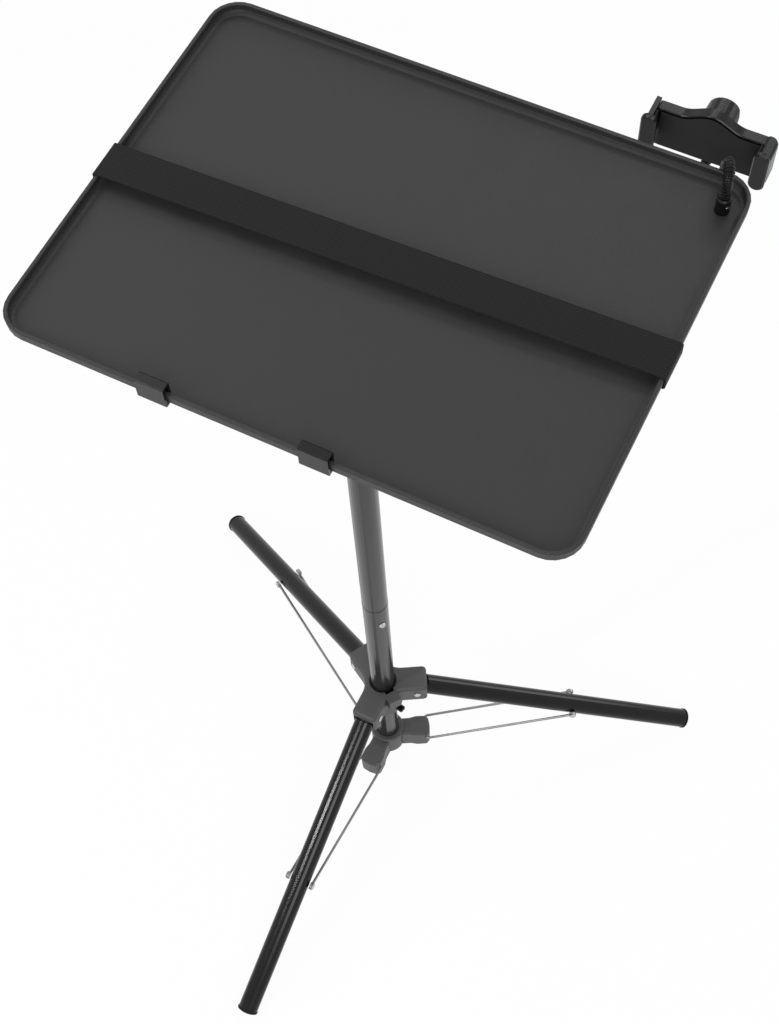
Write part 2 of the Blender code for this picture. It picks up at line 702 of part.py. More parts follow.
def build_brace(stand, letter, azimuth):
    """A wire bent round through the lower hub, both its ends riveted to a leg."""
    place = radial(azimuth) @ at(BRACE_HUB_R, 0, BRACE_HUB_Z) @ turned("Y", -math.degrees(BRACE_RISE))
    brace = empty(f"brace_{letter}_pivot", stand, place)
    half = []
    for step in range(5):
        angle = math.radians(90 * step / 4)
        side = BRACE_LANE - BRACE_BEND * (1 - math.sin(angle))
        half.append(Vector((BRACE_BEND * (1 - math.cos(angle)), side, 0)))
    half.append(Vector((BRACE_LENGTH - EYE_R * 0.5, BRACE_LANE, 0)))
    path = [Vector((point.x, -point.y, 0)) for point in reversed(half)] + half
    made = finish(f"brace_{letter}", sweep(path, [BRACE_D / 2] * len(path)), "dark_steel", brace)
    for side in (-1, 1):
        lane = side * BRACE_LANE
        eye = rod((BRACE_LENGTH, lane - EYE_T / 2, 0), (BRACE_LENGTH, lane + EYE_T / 2, 0), EYE_R, 12)
        join(made, eye)
    for side in (-1, 1):
        lane = side * BRACE_LANE
        cut(made, rod((BRACE_LENGTH, lane - EYE_T, 0), (BRACE_LENGTH, lane + EYE_T, 0), RIVET_R + GAP, 12))
    for side, word in ((-1, "right"), (1, "left")):
        head = BRACE_LANE + EYE_T / 2 + GAP
        tail = BRACE_LANE - EYE_T / 2
        finish(f"brace_{letter}_rivet_{word}", rivet_cap(BRACE_LENGTH, side * tail, side * head, side),
               "bare_steel", brace)
    return brace


def rivet_cap(x, tail, head, side):
    """A half rivet across Y: shank through the eye, domed head outside it."""
    profile = [(0.0, 0.0), (RIVET_R, 0.0), (RIVET_R, abs(head - tail)), (RIVET_HEAD_R, abs(head - tail)),
               (RIVET_HEAD_R, abs(head - tail) + RIVET_HEAD_T * 0.35),
               (RIVET_HEAD_R * 0.65, abs(head - tail) + RIVET_HEAD_T), (0.0, abs(head - tail) + RIVET_HEAD_T)]
    place = at(x, tail, 0) @ turned("X", -90 * side)
    return moved(lathe(profile, 12), place)


def build_lower_hub(stand):
    """The hub fixed at the bottom of the pole, with three arms that fan out to the braces."""
    low = finish("lower_hub", low_arm(), "hub_plastic", stand)
    low.data.transform(radial(list(LEG_AZIMUTHS.values())[0]))
    for azimuth in list(LEG_AZIMUTHS.values())[1:]:
        join(low, moved(low_arm(), radial(azimuth)))
    collar = [(0.0, LOW_BOTTOM), (LOW_COLLAR_R, LOW_BOTTOM), (LOW_COLLAR_R, LOW_COLLAR_TOP - 0.0015),
              (LOW_COLLAR_R - 0.0015, LOW_COLLAR_TOP), (0.0, LOW_COLLAR_TOP)]
    join(low, lathe(collar))
    cut(low, rod((0, 0, LOW_BOTTOM - 0.01), (0, 0, LOW_COLLAR_TOP + 0.01), POLE_R + GAP, ROUND))
    for azimuth in LEG_AZIMUTHS.values():
        hole = rod((BRACE_HUB_R, -LOW_END_W, BRACE_HUB_Z), (BRACE_HUB_R, LOW_END_W, BRACE_HUB_Z),
                   BRACE_D / 2 + GAP, 12)
        cut(low, moved(hole, radial(azimuth)))


def low_arm():
    """One arm of the lower hub along X: a fan in plan, its top sloping down to the end."""
    neck_r = POLE_R + 0.003
    waist_r = LOW_COLLAR_R + 0.006
    outline = [(neck_r, -LOW_NECK_W / 2), (waist_r, -LOW_NECK_W / 2), (waist_r + 0.007, -LOW_END_W / 2),
               (LOW_ARM_R - 0.004, -LOW_END_W / 2), (LOW_ARM_R - 0.001, -LOW_END_W / 2 + 0.003),
               (LOW_ARM_R, 0.0),
               (LOW_ARM_R - 0.001, LOW_END_W / 2 - 0.003), (LOW_ARM_R - 0.004, LOW_END_W / 2),
               (waist_r + 0.007, LOW_END_W / 2), (waist_r, LOW_NECK_W / 2), (neck_r, LOW_NECK_W / 2)]

    def top(x):
        crease = waist_r + 0.004
        fall = max(x - crease, 0.0) / (LOW_ARM_R - crease)
        return LOW_TOP - LOW_END_DROP * 0.35 * fall

    def inset(x, y, amount):
        return (x - amount if x > waist_r else x, y - math.copysign(amount, y) if y else y)

    bottom = [(x, y, LOW_BOTTOM) for x, y in outline]
    side = [(x, y, top(x) - 0.0018) for x, y in outline]
    lid = [(*inset(x, y, 0.0015), top(x)) for x, y in outline]
    return loft([bottom, side, lid])


def build_pole(stand):
    """Lower and upper pole tubes, the foot cap, the coupling and its snap button."""
    lower = finish("pole_lower", tube(POLE_R, POLE_WALL, POLE_BOTTOM, SEAM_Z - GAP / 2), "grey_enamel", stand)
    finish("pole_upper", tube(POLE_R, POLE_WALL, SEAM_Z + GAP / 2, POLE_TOP), "grey_enamel", stand)
    bore = POLE_R - POLE_WALL
    cap_low = POLE_BOTTOM - FOOT_CAP_T
    cap = [(0.0, cap_low), (POLE_R - 0.001, cap_low), (POLE_R + 0.0006, cap_low + 0.0015),
           (POLE_R + 0.0006, POLE_BOTTOM - GAP), (bore - GAP, POLE_BOTTOM - GAP),
           (bore - GAP, POLE_BOTTOM + 0.012), (0.0, POLE_BOTTOM + 0.012)]
    finish("pole_foot_cap", lathe(cap, 24), "rubber", stand)

    spigot_r = bore - SPIGOT_FIT
    spigot = finish("coupling_spigot", tube(spigot_r, SPIGOT_WALL, SEAM_Z - SPIGOT_DOWN, SEAM_Z + SPIGOT_UP),
                    "bare_steel", stand)
    button_z = SEAM_Z - BUTTON_DROP
    hole = moved(rod((spigot_r - 0.005, 0, button_z), (POLE_R + 0.005, 0, button_z), BUTTON_R + GAP),
                 radial(BUTTON_AZ))
    other = hole.copy()
    cut(lower, hole)
    cut(spigot, other)
    inner = POLE_R - BUTTON_IN
    head = POLE_R + BUTTON_PROUD
    profile = [(0.0, inner), (BUTTON_R, inner), (BUTTON_R, head - 0.0022), (BUTTON_R * 0.85, head - 0.0010),
               (BUTTON_R * 0.5, head - 0.0002), (0.0, head)]
    press = empty("button_press", stand, radial(BUTTON_AZ) @ at(0, 0, button_z) @ turned("Y", 90))
    finish("snap_button", lathe(profile), "bare_steel", press)
    leaf_x = inner - GAP - LEAF_T / 2
    leaf = bevelled(block((LEAF_L, LEAF_W, LEAF_T), (0, 0, leaf_x)), LEAF_T * 0.3, 1)
    finish("button_leaf_spring", leaf, "bare_steel", press)


def build_height_clamp(stand):
    """The collar on top of the pole and the knob that clamps the mast."""
    low = POLE_TOP - CLAMP_LAP
    high = low + CLAMP_H
    outer = CLAMP_OD / 2
    sleeve = POLE_R + GAP
    guide = MAST_R + GAP
    profile = [(sleeve, low), (outer - 0.001, low), (outer, low + 0.0015), (outer, high - 0.0015),
               (outer - 0.0015, high), (guide, high), (guide, POLE_TOP + GAP), (sleeve, POLE_TOP + GAP)]
    collar = finish("height_clamp", lathe(profile), "hub_plastic", stand)
    knob_z = (POLE_TOP + high) / 2
    boss = rod((0, MAST_R + 0.003, knob_z), (0, CLAMP_BOSS_OUT, knob_z), CLAMP_BOSS_R, 20)
    join(collar, boss)
    cut(collar, rod((0, 0.002, knob_z), (0, CLAMP_BOSS_OUT + 0.01, knob_z), KNOB_SHANK_R + GAP))
    turn = empty("height_knob_axis", stand, at(0, 0, knob_z) @ turned("X", -90))
    knob = finish("height_knob", moved(lobed_knob(KNOB_R, KNOB_L, KNOB_LOBES), at(0, 0, CLAMP_BOSS_OUT + GAP)),
                  "black_plastic", turn)
    join(knob, rod((0, 0, MAST_R + GAP), (0, 0, CLAMP_BOSS_OUT + 0.006), KNOB_SHANK_R))


def build_mast(stand):
    """The inner tube that slides in the pole, with its end plug and tilt head."""
    mast = empty("mast_slide", stand, at(0, 0, MAST_TOP))
    low = MAST_BOTTOM - MAST_TOP
    finish("mast", tube(MAST_R, MAST_WALL, low, 0.0), "bare_steel", mast)
    bore = MAST_R - MAST_WALL - GAP
    glide = POLE_R - POLE_WALL - GAP
    plug = [(0.0, low - PLUG_T), (glide - 0.001, low - PLUG_T), (glide, low - PLUG_T + 0.001),
            (glide, low - GAP), (bore, low - GAP), (bore, low + 0.012), (0.0, low + 0.012)]
    finish("mast_end_plug", lathe(plug, 24), "black_plastic", mast)
    socket_low = -HEAD_SOCKET_H + 0.004
    socket_r = HEAD_SOCKET_OD / 2
    socket = [(MAST_R + GAP, socket_low), (socket_r, socket_low), (socket_r, 0.003), (socket_r - 0.001, 0.004),
              (0.0, 0.004), (0.0, GAP), (MAST_R + GAP, GAP)]
    head = finish("tilt_head", lathe(socket[:5] + [(0.0, GAP), (MAST_R + GAP, GAP), (MAST_R + GAP, socket_low)]),
                  "hub_plastic", mast)
    tilt_up = TILT_Z - MAST_TOP
    outline = [(-TONGUE_R, 0.002), (TONGUE_R, 0.002)] + arc((0, tilt_up), TONGUE_R, 0, 180, 12)
    join(head, prism(outline, -TONGUE_T / 2, TONGUE_T / 2, "X"))
    cut(head, rod((-TONGUE_T, 0, tilt_up), (TONGUE_T, 0, tilt_up), BOLT_R + GAP))
    return mast


def build_tray_mount(tray):
    """The bracket under the tray, its nuts, the pivot bolt and the tilt knob. The tilt axis is the origin."""
    plate_top = UNDER_Z - GAP - TILT_Z
    plate_low = plate_top - BRACKET_T
    outline = rounded_rectangle(BRACKET_X / 2, BRACKET_Y / 2, 0.008, 4)
    bracket = finish("tilt_bracket", prism(outline, plate_low, plate_top), "black_enamel", tray)
    inner = TONGUE_T / 2 + GAP
    for side in (-1, 1):
        ear = [(-TONGUE_R * 1.3, plate_low + 0.001)] + arc((0, 0), TONGUE_R, 180, 360, 12)
        ear += [(TONGUE_R * 1.3, plate_low + 0.001)]
        faces = sorted((side * inner, side * (inner + EAR_T)))
        join(bracket, prism(ear, faces[0], faces[1], "X"))
    cut(bracket, rod((-0.03, 0, 0), (0.03, 0, 0), BOLT_R + GAP))
    for word, x, y in STUDS:
        cut(bracket, rod((x, y, plate_low - 0.01), (x, y, plate_top + 0.01), STUD_R + GAP, 12))
        nut = ring_nut(NUT_AF, STUD_R + GAP, plate_low - GAP - NUT_T, plate_low - GAP)
        finish(f"bracket_nut_{word}", nut, "bare_steel", tray, at(x, y, 0))

    wall = inner + EAR_T + GAP
    bolt_end = wall + TILT_KNOB_L * 0.6
    head = [(0.0, -wall - BOLT_HEAD_L), (BOLT_HEAD_R - 0.001, -wall - BOLT_HEAD_L),
            (BOLT_HEAD_R, -wall - BOLT_HEAD_L + 0.001), (BOLT_HEAD_R, -wall), (BOLT_R, -wall),
            (BOLT_R, bolt_end), (0.0, bolt_end)]
    finish("tilt_bolt", moved(lathe(head, 24), turned("Y", 90)), "bare_steel", tray)
    turn = empty("tilt_knob_axis", tray, turned("Y", 90))
    knob = finish("tilt_knob", moved(lobed_knob(TILT_KNOB_R, TILT_KNOB_L, KNOB_LOBES), at(0, 0, wall)),
                  "black_plastic", turn)
    cut(knob, rod((0, 0, wall - 0.01), (0, 0, bolt_end + GAP), BOLT_R + GAP))


def tray_ring(height, inset):
    """The tray's plan at one height, drawn in by an inset."""
    radius = max(TRAY_CORNER - inset, 0.002)
    outline = rounded_rectangle(TRAY_X / 2 - inset, TRAY_Y / 2 - inset, radius)
    return [(x, y + TRAY_BACK, height - TILT_Z) for x, y in outline]


def build_tray(tray):
    """The pan with its raised rim. The tilt axis is the origin."""
    turn = TRAY_ROUND
    levels = [
        (UNDER_Z, turn + 0.0008), (UNDER_Z + turn, 0.0004), (TRAY_TOP - turn, 0.0),
        (TRAY_TOP - turn * 0.3, turn * 0.3),
        (TRAY_TOP, turn), (TRAY_TOP, TRAY_RIM - turn * 0.5), (TRAY_TOP - turn * 0.5, TRAY_RIM),
        (FLOOR_Z + TRAY_FILLET, TRAY_RIM), (FLOOR_Z + TRAY_FILLET * 0.3, TRAY_RIM + TRAY_FILLET * 0.3),
        (FLOOR_Z, TRAY_RIM + TRAY_FILLET),
    ]
    pan = finish("tray_pan", loft([tray_ring(height, inset) for height, inset in levels]), "powder_coat", tray)
    for _, x, y in STUDS:
        stud_top = UNDER_Z + TRAY_FLOOR * 0.5 - TILT_Z
        join(pan, rod((x, y, UNDER_Z - STUD_L - TILT_Z), (x, y, stud_top), STUD_R, 12))
    neck = NECK_FOOT
    cut(pan, rod((neck.x, neck.y, UNDER_Z - 0.01 - TILT_Z), (neck.x, neck.y, TRAY_TOP - TILT_Z),
                 NECK_SHANK_R + GAP))
    cut(pan, rod((neck.x, neck.y, FLOOR_Z - NECK_SEAT - TILT_Z), (neck.x, neck.y, TRAY_TOP - TILT_Z),
                 NECK_FOOT_R + GAP))


def build_strap(tray):
    """The elastic strap, from rim to rim and folded under the tray, with a rivet in each end."""
    outer_x = TRAY_X / 2 + GAP + STRAP_T
    inner_x = TRAY_X / 2 + GAP
    top = TRAY_TOP + GAP + STRAP_T - TILT_Z
    under = UNDER_Z - GAP - STRAP_T - TILT_Z
    flap_x = TRAY_X / 2 - STRAP_FLAP
    corner = 0.0011

    def side_points(x, low, high, sign):
        return [(sign * (x - corner), low), (sign * x, low + corner), (sign * x, high - corner),
                (sign * (x - corner), high)]

    right_outer = side_points(outer_x, under, top, 1)
    left_outer = list(reversed(side_points(outer_x, under, top, -1)))
    right_inner = list(reversed(side_points(inner_x, under + STRAP_T, top - STRAP_T, 1)))
    left_inner = side_points(inner_x, under + STRAP_T, top - STRAP_T, -1)
    loop = ([(flap_x, under)] + right_outer + left_outer + [(-flap_x, under), (-flap_x, under + STRAP_T)]
            + left_inner + right_inner + [(flap_x, under + STRAP_T)])

    def across(x, side):
        share = (x + TRAY_X / 2) / TRAY_X
        return STRAP_Y_LEFT + (STRAP_Y_RIGHT - STRAP_Y_LEFT) * share + side * STRAP_W / 2

    rings = [[(x, across(x, side), z) for x, z in loop] for side in (-1, 1)]
    strap = finish("strap", loft(rings), "elastic", tray)
    for side, word in ((-1, "left"), (1, "right")):
        x = side * (flap_x + STRAP_W / 2)
        y = across(x, 0)
        profile = [(0.0, under - GAP - STRAP_RIVET_T), (STRAP_RIVET_R * 0.6, under - GAP - STRAP_RIVET_T),
                   (STRAP_RIVET_R, under - GAP - 0.0004), (STRAP_RIVET_R, under - GAP), (RIVET_R, under - GAP),
                   (RIVET_R, under + STRAP_T), (0.0, under + STRAP_T)]
        finish(f"strap_rivet_{word}", moved(lathe(profile, SMALL), at(x, y, 0)), "bare_steel", tray)
        cut(strap, rod((x, y, under - 0.01), (x, y, under + 0.005), RIVET_R + GAP))


def build_clip(tray, side, middle):
    """A stop clip that grips the front rim and stands above it."""
    rim_front = TRAY_BACK - TRAY_Y / 2
    rim_back = rim_front + TRAY_RIM
    top = TRAY_TOP + CLIP_RISE - TILT_Z
    low = UNDER_Z - GAP - CLIP_T - TILT_Z
    out = rim_front - GAP
    inside = rim_back + GAP
    lip = TRAY_TOP - CLIP_LIP - TILT_Z
    outline = [
        (out - CLIP_T, low + 0.001), (out - CLIP_T + 0.001, low), (inside + 0.002, low), (inside + 0.002, low + CLIP_T),
        (out, low + CLIP_T), (out, top - CLIP_T), (inside, top - CLIP_T), (inside, lip),
        (inside + CLIP_T, lip), (inside + CLIP_T, top - 0.001), (inside + CLIP_T - 0.001, top),
        (out - CLIP_T + 0.001, top), (out - CLIP_T, top - 0.001),
    ]
    finish(f"clip_{side}", prism(outline, -CLIP_W / 2, CLIP_W / 2, "X"), "holder_plastic", tray,
           at(middle, 0, 0))


def build_gooseneck(tray):
    """The ribbed neck from the tray to the phone holder, and what holds its ends."""
    lower = at(0, 0, -TILT_Z)
    foot = empty("neck_foot_place", tray, at(NECK_FOOT.x, NECK_FOOT.y, FLOOR_Z - TILT_Z))
    shank_low = -TRAY_FLOOR - 0.008
    seat = GAP - NECK_SEAT
    profile = [(0.0, shank_low), (NECK_SHANK_R, shank_low), (NECK_SHANK_R, seat), (NECK_FOOT_R, seat),
               (NECK_FOOT_R, NECK_FOOT_H - 0.0012), (NECK_FOOT_R - 0.0010, NECK_FOOT_H), (0.0, NECK_FOOT_H)]
    finish("gooseneck_base", lathe(profile, 24), "black_plastic", foot)
    nut_top = -TRAY_FLOOR - GAP
    finish("gooseneck_nut", ring_nut(NECK_NUT_AF, NECK_SHANK_R + GAP, nut_top - NECK_NUT_T, nut_top),
           "bare_steel", foot)

    fine = smooth_route(NECK_PATH, 8)
    length = even_points(fine, 1)[1]
    ribs = round(length / NECK_PITCH)
    points = even_points(fine, 2 * ribs)[0]
    radii = [NECK_D / 2 - (NECK_RIB if index % 2 == 0 else 0.0) for index in range(len(points))]
    neck = sweep(points, radii)
    finish("gooseneck", moved(neck, lower), "black_plastic", tray, None, 25.0)
    print(f"gooseneck: length {length * 1000:.1f} mm, ribs {ribs}, least gap to itself "
          f"{least_gap(points) * 1000:.2f} mm")

    end = empty("neck_end_place", tray, at(BALL.x, BALL.y, BALL.z - TILT_Z))
    far = STUD_REACH + NECK_END_L
    profile = [(0.0, STUD_REACH), (NECK_FOOT_R - 0.0008, STUD_REACH), (NECK_FOOT_R, STUD_REACH + 0.0008),
               (NECK_FOOT_R, far - 0.0008), (NECK_FOOT_R - 0.0008, far), (0.0, far)]
    finish("gooseneck_end", moved(lathe(profile, 24), turned("X", -90 - NECK_DROOP)), "black_plastic", end)


def least_gap(points):
    """Least clear distance of the neck to itself, between places that aren't neighbours along it."""
    along = [0.0]
    for one, two in zip(points, points[1:]):
        along.append(along[-1] + (two - one).length)
    best = math.inf
    for first, one in enumerate(points):
        for second in range(first + 1, len(points)):
            if along[second] - along[first] > math.pi * NECK_D:
                best = min(best, (points[second] - one).length - NECK_D)
    return best


def plate_top(x):
    """Height of the holder plate's wavy upper edge above the ball."""
    if abs(x) >= PLATE_CREST_HALF:
        return PLATE_UP
    return PLATE_UP + PLATE_CREST * math.cos(math.pi * x / (2 * PLATE_CREST_HALF)) ** 2


def lip_outline(middle):
    """Front view of a jaw's lip: a tall oval with round ends."""
    half = LIP_W / 2
    upper = arc((middle, JAW_UP - half), half, 0, 180, 8)
    lower = arc((middle, -JAW_DOWN + half), half, 180, 360, 8)
    return upper + lower


def build_holder(tray):
    """The phone holder on its ball: body, fixed jaw, cover, nut, sliding jaw and pads."""
    spin = empty("holder_spin", tray, at(BALL.x, BALL.y, BALL.z - TILT_Z))
    upright = turned("X", -90 - NECK_DROOP)
    stud_end = STUD_REACH - GAP
    profile = [(0.0, -BALL_R)]
    for step in range(1, 9):
        angle = math.radians(-90 + 150 * step / 8)
        if BALL_R * math.cos(angle) < BALL_NECK_R and angle > 0:
            break
        profile.append((BALL_R * math.cos(angle), BALL_R * math.sin(angle)))
    profile += [(BALL_NECK_R, BALL_R * 0.9), (BALL_NECK_R, stud_end), (0.0, stud_end)]
    finish("ball_stud", moved(lathe(profile, 20), upright), "bare_steel", spin)

    holder = empty("holder_tilt", spin, Matrix())
    front = -PLATE_AHEAD
    back = front + PLATE_T
    outline = [(-PLATE_HALF, -PLATE_DOWN), (PLATE_HALF, -PLATE_DOWN), (PLATE_HALF, PLATE_UP)]
    for step in range(CREST_STEPS + 1):
        x = PLATE_CREST_HALF * (1 - 2 * step / CREST_STEPS)
        outline.append((x, plate_top(x)))
    outline.append((-PLATE_HALF, PLATE_UP))
    plate = bevelled(prism(outline, front, back, "Y"), 0.0006, 1)
    body = finish("holder_body", plate, "holder_plastic", holder)
    wall_in = PLATE_HALF - 0.001
    wall_out = PLATE_HALF + FIXED_WALL
    lip_front = front - JAW_REACH
    corner = 0.006
    plan = ([(wall_in, back - 0.0003), (wall_in, lip_front)] + [(wall_out - corner, lip_front)]
            + arc((wall_out - corner, lip_front + corner), corner, -70, 0, 4)
            + arc((wall_out - corner, back - 0.0003 - corner), corner, 0, 90, 5))
    join(body, bevelled(prism(plan, -JAW_DOWN + JAW_INSET / 2, JAW_UP - JAW_INSET), FIXED_ROUND, 2, 60.0))
    lip_mid = wall_out - LIP_W / 2
    lip = prism(lip_outline(lip_mid), lip_front - 0.0004, lip_front + LIP_T, "Y")
    join(body, bevelled(lip, LIP_ROUND, 1))
    slot_mid = front + PLATE_T / 2
    cut(body, block((SLOT_L, SLOT_T, SLOT_H), (-PLATE_HALF - 0.005 + SLOT_L / 2, slot_mid, 0)))

    build_holder_back(holder, back)
    build_sliding_jaw(holder, front, slot_mid, lip_front)
    build_holder_pads(holder, front, lip_front)


def build_holder_back(holder, back):
    """The back cover with its cup round the ball, and the nut that clamps it."""
    upright = turned("X", -90 - NECK_DROOP)
    cover = rounded_rectangle(PLATE_HALF * 0.62, (PLATE_UP + PLATE_DOWN) * 0.42, 0.006, 4)
    cover = [(x, z + (PLATE_UP - PLATE_DOWN) / 2) for x, z in cover]
    made = finish("holder_back", prism(cover, back + GAP, back + GAP + COVER_T, "Y"), "holder_plastic", holder)
    seat = -BALL_R - CUP_FIT
    root = back + GAP + COVER_T / 2
    turn = HOUSING_ROUND
    flare = HOUSING_ROOT
    housing = [(0.0, root), (HOUSING_R + flare, root), (HOUSING_R + flare * 0.3, root + flare * 0.4),
               (HOUSING_R, root + flare), (HOUSING_R, HOUSING_BACK - turn),
               (HOUSING_R - turn * 0.3, HOUSING_BACK - turn * 0.3), (HOUSING_R - turn, HOUSING_BACK),
               (0.0, HOUSING_BACK)]
    join(made, moved(lathe(housing, CUP_SIDES), turned("X", -90)))
    beyond = block((0.06, 0.06, 0.03), (0, 0, HOUSING_END + 0.015))
    cut(made, moved(beyond, upright))
    cup = [(0.0, -CUP_R), (CUP_R, -CUP_R), (CUP_R, CUP_PAST), (0.0, CUP_PAST)]
    join(made, moved(lathe(cup, CUP_SIDES), upright))
    bowl = (BALL_R + CUP_FIT) / math.cos(math.pi / CUP_SIDES)
    hollow = [(0.0, seat)] + arc((0, 0), bowl, -72, 0, 5) + [(bowl, 0.02), (0.0, 0.02)]
    cut(made, moved(lathe(hollow, CUP_SIDES), upright))

    nut_low = HOUSING_END + GAP
    nut_high = CUP_PAST + GAP + NUT_END_T
    bore = CUP_R + CUP_FIT
    step = nut_high - NUT_END_T
    outer = NUT_OD / 2
    rings = []
    for height, inset in ((nut_low, 0.0008), (nut_low + 0.001, 0.0), (nut_high - 0.0010, 0.0),
                          (nut_high, 0.0010)):
        outline = lobed_outline(outer - inset, 9, 0.0007, 36)
        rings.append([(x, y, height) for x, y in outline])
    turn = empty("holder_nut_axis", holder, Matrix())
    nut = finish("holder_nut", moved(loft(rings), upright), "holder_plastic", turn)
    cut(nut, moved(rod((0, 0, nut_low - 0.01), (0, 0, step), bore, 24), upright))
    cut(nut, moved(rod((0, 0, step - 0.002), (0, 0, nut_high + 0.01), NUT_HOLE_R, 24), upright))


def build_sliding_jaw(holder, front, slot_mid, lip_front):
    """The sprung jaw: side wall, lip, and a tongue that slides in the body."""
    jaw = empty("jaw_slide", holder, at(-PLATE_HALF - GAP, 0, 0))
    plan = ([(0.0, slot_mid + PLATE_T / 2 - 0.0003), (-JAW_WALL, slot_mid + PLATE_T / 2 - 0.0003)]
            + [(-JAW_WALL, lip_front + 0.002), (-JAW_WALL + 0.0015, lip_front), (0.0, lip_front)])
    wall = prism(plan, -JAW_DOWN + JAW_INSET / 2, JAW_UP - JAW_INSET)
    made = finish("sliding_jaw", wall, "holder_plastic", jaw)
    lip_mid = LIP_W / 2 - JAW_WALL - LIP_OVER
    lip = prism(lip_outline(lip_mid), lip_front - 0.0004, lip_front + LIP_T, "Y")
    join(made, bevelled(lip, LIP_ROUND, 1))
    slide = SLOT_T - 2 * GAP
    height = SLOT_H - 2 * GAP
    tongue = block((TONGUE_L + 0.002, slide, height), (TONGUE_L / 2 - 0.001, slot_mid, 0))
    join(made, tongue)
    pocket = block((TONGUE_L * 0.5, SLOT_T * 2, SPRING_R * 2 + 4 * GAP), (TONGUE_L * 0.75 + GAP, slot_mid, 0))
    cut(made, pocket)

    start = TONGUE_L * 0.5 + 4 * GAP
    end = SLOT_L - 0.005 - 3 * GAP
    spring = moved(coil(SPRING_R, SPRING_WIRE, start, end, SPRING_TURNS), at(0, slot_mid, 0))
    finish("jaw_spring", spring, "bare_steel", holder, at(-PLATE_HALF - GAP, 0, 0))


def coil(radius, wire, start, end, turns):
    """A spring along X between two places."""
    points = []
    steps = turns * 6
    for step in range(steps + 1):
        angle = 2 * math.pi * step / 6
        x = start + wire + (end - start - 2 * wire) * step / steps
        points.append(Vector((x, radius * 0.8 * math.cos(angle), radius * 0.8 * math.sin(angle))))
    return sweep(points, [wire / 2] * len(points), 5)


def build_holder_pads(holder, front, lip_front):
    """Rubber pads on the holder's face and inside both jaws."""
    face = rounded_rectangle(PLATE_HALF - 0.003, (PLATE_UP + PLATE_DOWN) / 2 - 0.002, 0.003, 3)
    middle = (PLATE_UP - PLATE_DOWN) / 2
    pad = prism([(x, z + middle) for x, z in face], front - GAP - PAD_T, front - GAP, "Y")
    finish("holder_face_pad", pad, "rubber", holder)
    depth = JAW_REACH - LIP_T - PAD_T - 6 * GAP
    height = JAW_UP + JAW_DOWN - 0.012
    middle_y = front - GAP - PAD_T - 2 * GAP - depth / 2
    centre_z = (JAW_UP - JAW_DOWN) / 2 - 0.0015
    fixed_x = PLATE_HALF - 0.001 - GAP - PAD_T / 2
    finish("fixed_jaw_pad", bevelled(block((PAD_T, depth, height), (fixed_x, middle_y, centre_z)), 0.0004, 1),
           "rubber", holder)
    jaw = bpy.data.objects["jaw_slide"]
    grip = block((PAD_T, depth, height), (GAP + PAD_T / 2, middle_y, centre_z))
    finish("sliding_jaw_pad", bevelled(grip, 0.0004, 1),
           "rubber", jaw)


def main():
    """Build the whole stand."""
    clear_scene()
    make_materials()
    lift = -(PIVOT_Z + foot_low_point() + FOOT_FLAT)
    stand = empty("stand", None, at(0, 0, lift))
    hub = build_star_hub(stand)
    for letter, azimuth in LEG_AZIMUTHS.items():
        build_leg(hub, letter, azimuth)
        build_brace(stand, letter, azimuth)
    build_lower_hub(stand)
    build_pole(stand)
    build_height_clamp(stand)
    mast = build_mast(stand)
    tray = empty("tray_tilt", mast, at(0, 0, TILT_Z - MAST_TOP))
    build_tray_mount(tray)
    build_tray(tray)
    build_strap(tray)
    for side, middle in CLIP_X.items():
        build_clip(tray, side, middle)
    build_gooseneck(tray)
    build_holder(tray)
    print(f"lift {lift:.6f} hub travel {HUB_TRAVEL:.6f} brace fold {math.degrees(BRACE_FOLD):.4f} degrees")


main()
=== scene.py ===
"""Looks for a folding projector stand with a tray and a gooseneck phone holder.

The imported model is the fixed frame. This script gives each of its nodes a finish,
makes the elastic strap, the ribbed neck, the grip pads and the small trim, and sets
a camera, a pale floor and soft lamps. Metres, +Z up, floor at z = 0.
"""
import json
import logging
import math
from collections.abc import Callable, Iterable
from dataclasses import dataclass
from enum import Enum

import bmesh
import bpy
from mathutils import Matrix, Vector

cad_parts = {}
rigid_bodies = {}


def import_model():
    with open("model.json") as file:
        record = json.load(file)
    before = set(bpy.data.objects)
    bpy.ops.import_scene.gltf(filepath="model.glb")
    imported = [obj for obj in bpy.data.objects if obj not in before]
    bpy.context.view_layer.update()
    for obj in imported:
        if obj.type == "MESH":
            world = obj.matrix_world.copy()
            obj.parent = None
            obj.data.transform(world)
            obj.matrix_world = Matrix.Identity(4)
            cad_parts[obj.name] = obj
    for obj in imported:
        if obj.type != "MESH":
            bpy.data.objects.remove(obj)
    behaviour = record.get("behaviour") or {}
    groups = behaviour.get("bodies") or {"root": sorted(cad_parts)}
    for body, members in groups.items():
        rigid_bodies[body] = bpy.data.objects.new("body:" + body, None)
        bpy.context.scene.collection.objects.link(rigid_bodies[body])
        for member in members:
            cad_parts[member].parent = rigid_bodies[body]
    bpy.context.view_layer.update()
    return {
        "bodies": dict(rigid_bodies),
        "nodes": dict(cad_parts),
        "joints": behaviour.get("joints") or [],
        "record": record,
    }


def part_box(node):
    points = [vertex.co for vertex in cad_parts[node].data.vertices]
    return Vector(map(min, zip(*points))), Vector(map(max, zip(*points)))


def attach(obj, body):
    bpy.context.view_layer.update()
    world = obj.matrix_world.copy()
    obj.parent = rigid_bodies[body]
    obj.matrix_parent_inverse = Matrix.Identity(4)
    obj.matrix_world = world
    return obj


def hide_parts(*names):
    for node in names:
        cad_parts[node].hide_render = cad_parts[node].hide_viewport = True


LOG = logging.getLogger("stand")
X_AXIS = Vector((1.0, 0.0, 0.0))
Z_AXIS = Vector((0.0, 0.0, 1.0))
WHITE = (1.0, 1.0, 1.0, 1.0)
FACING = 0.9            # least cosine at which a face counts as looking along a direction
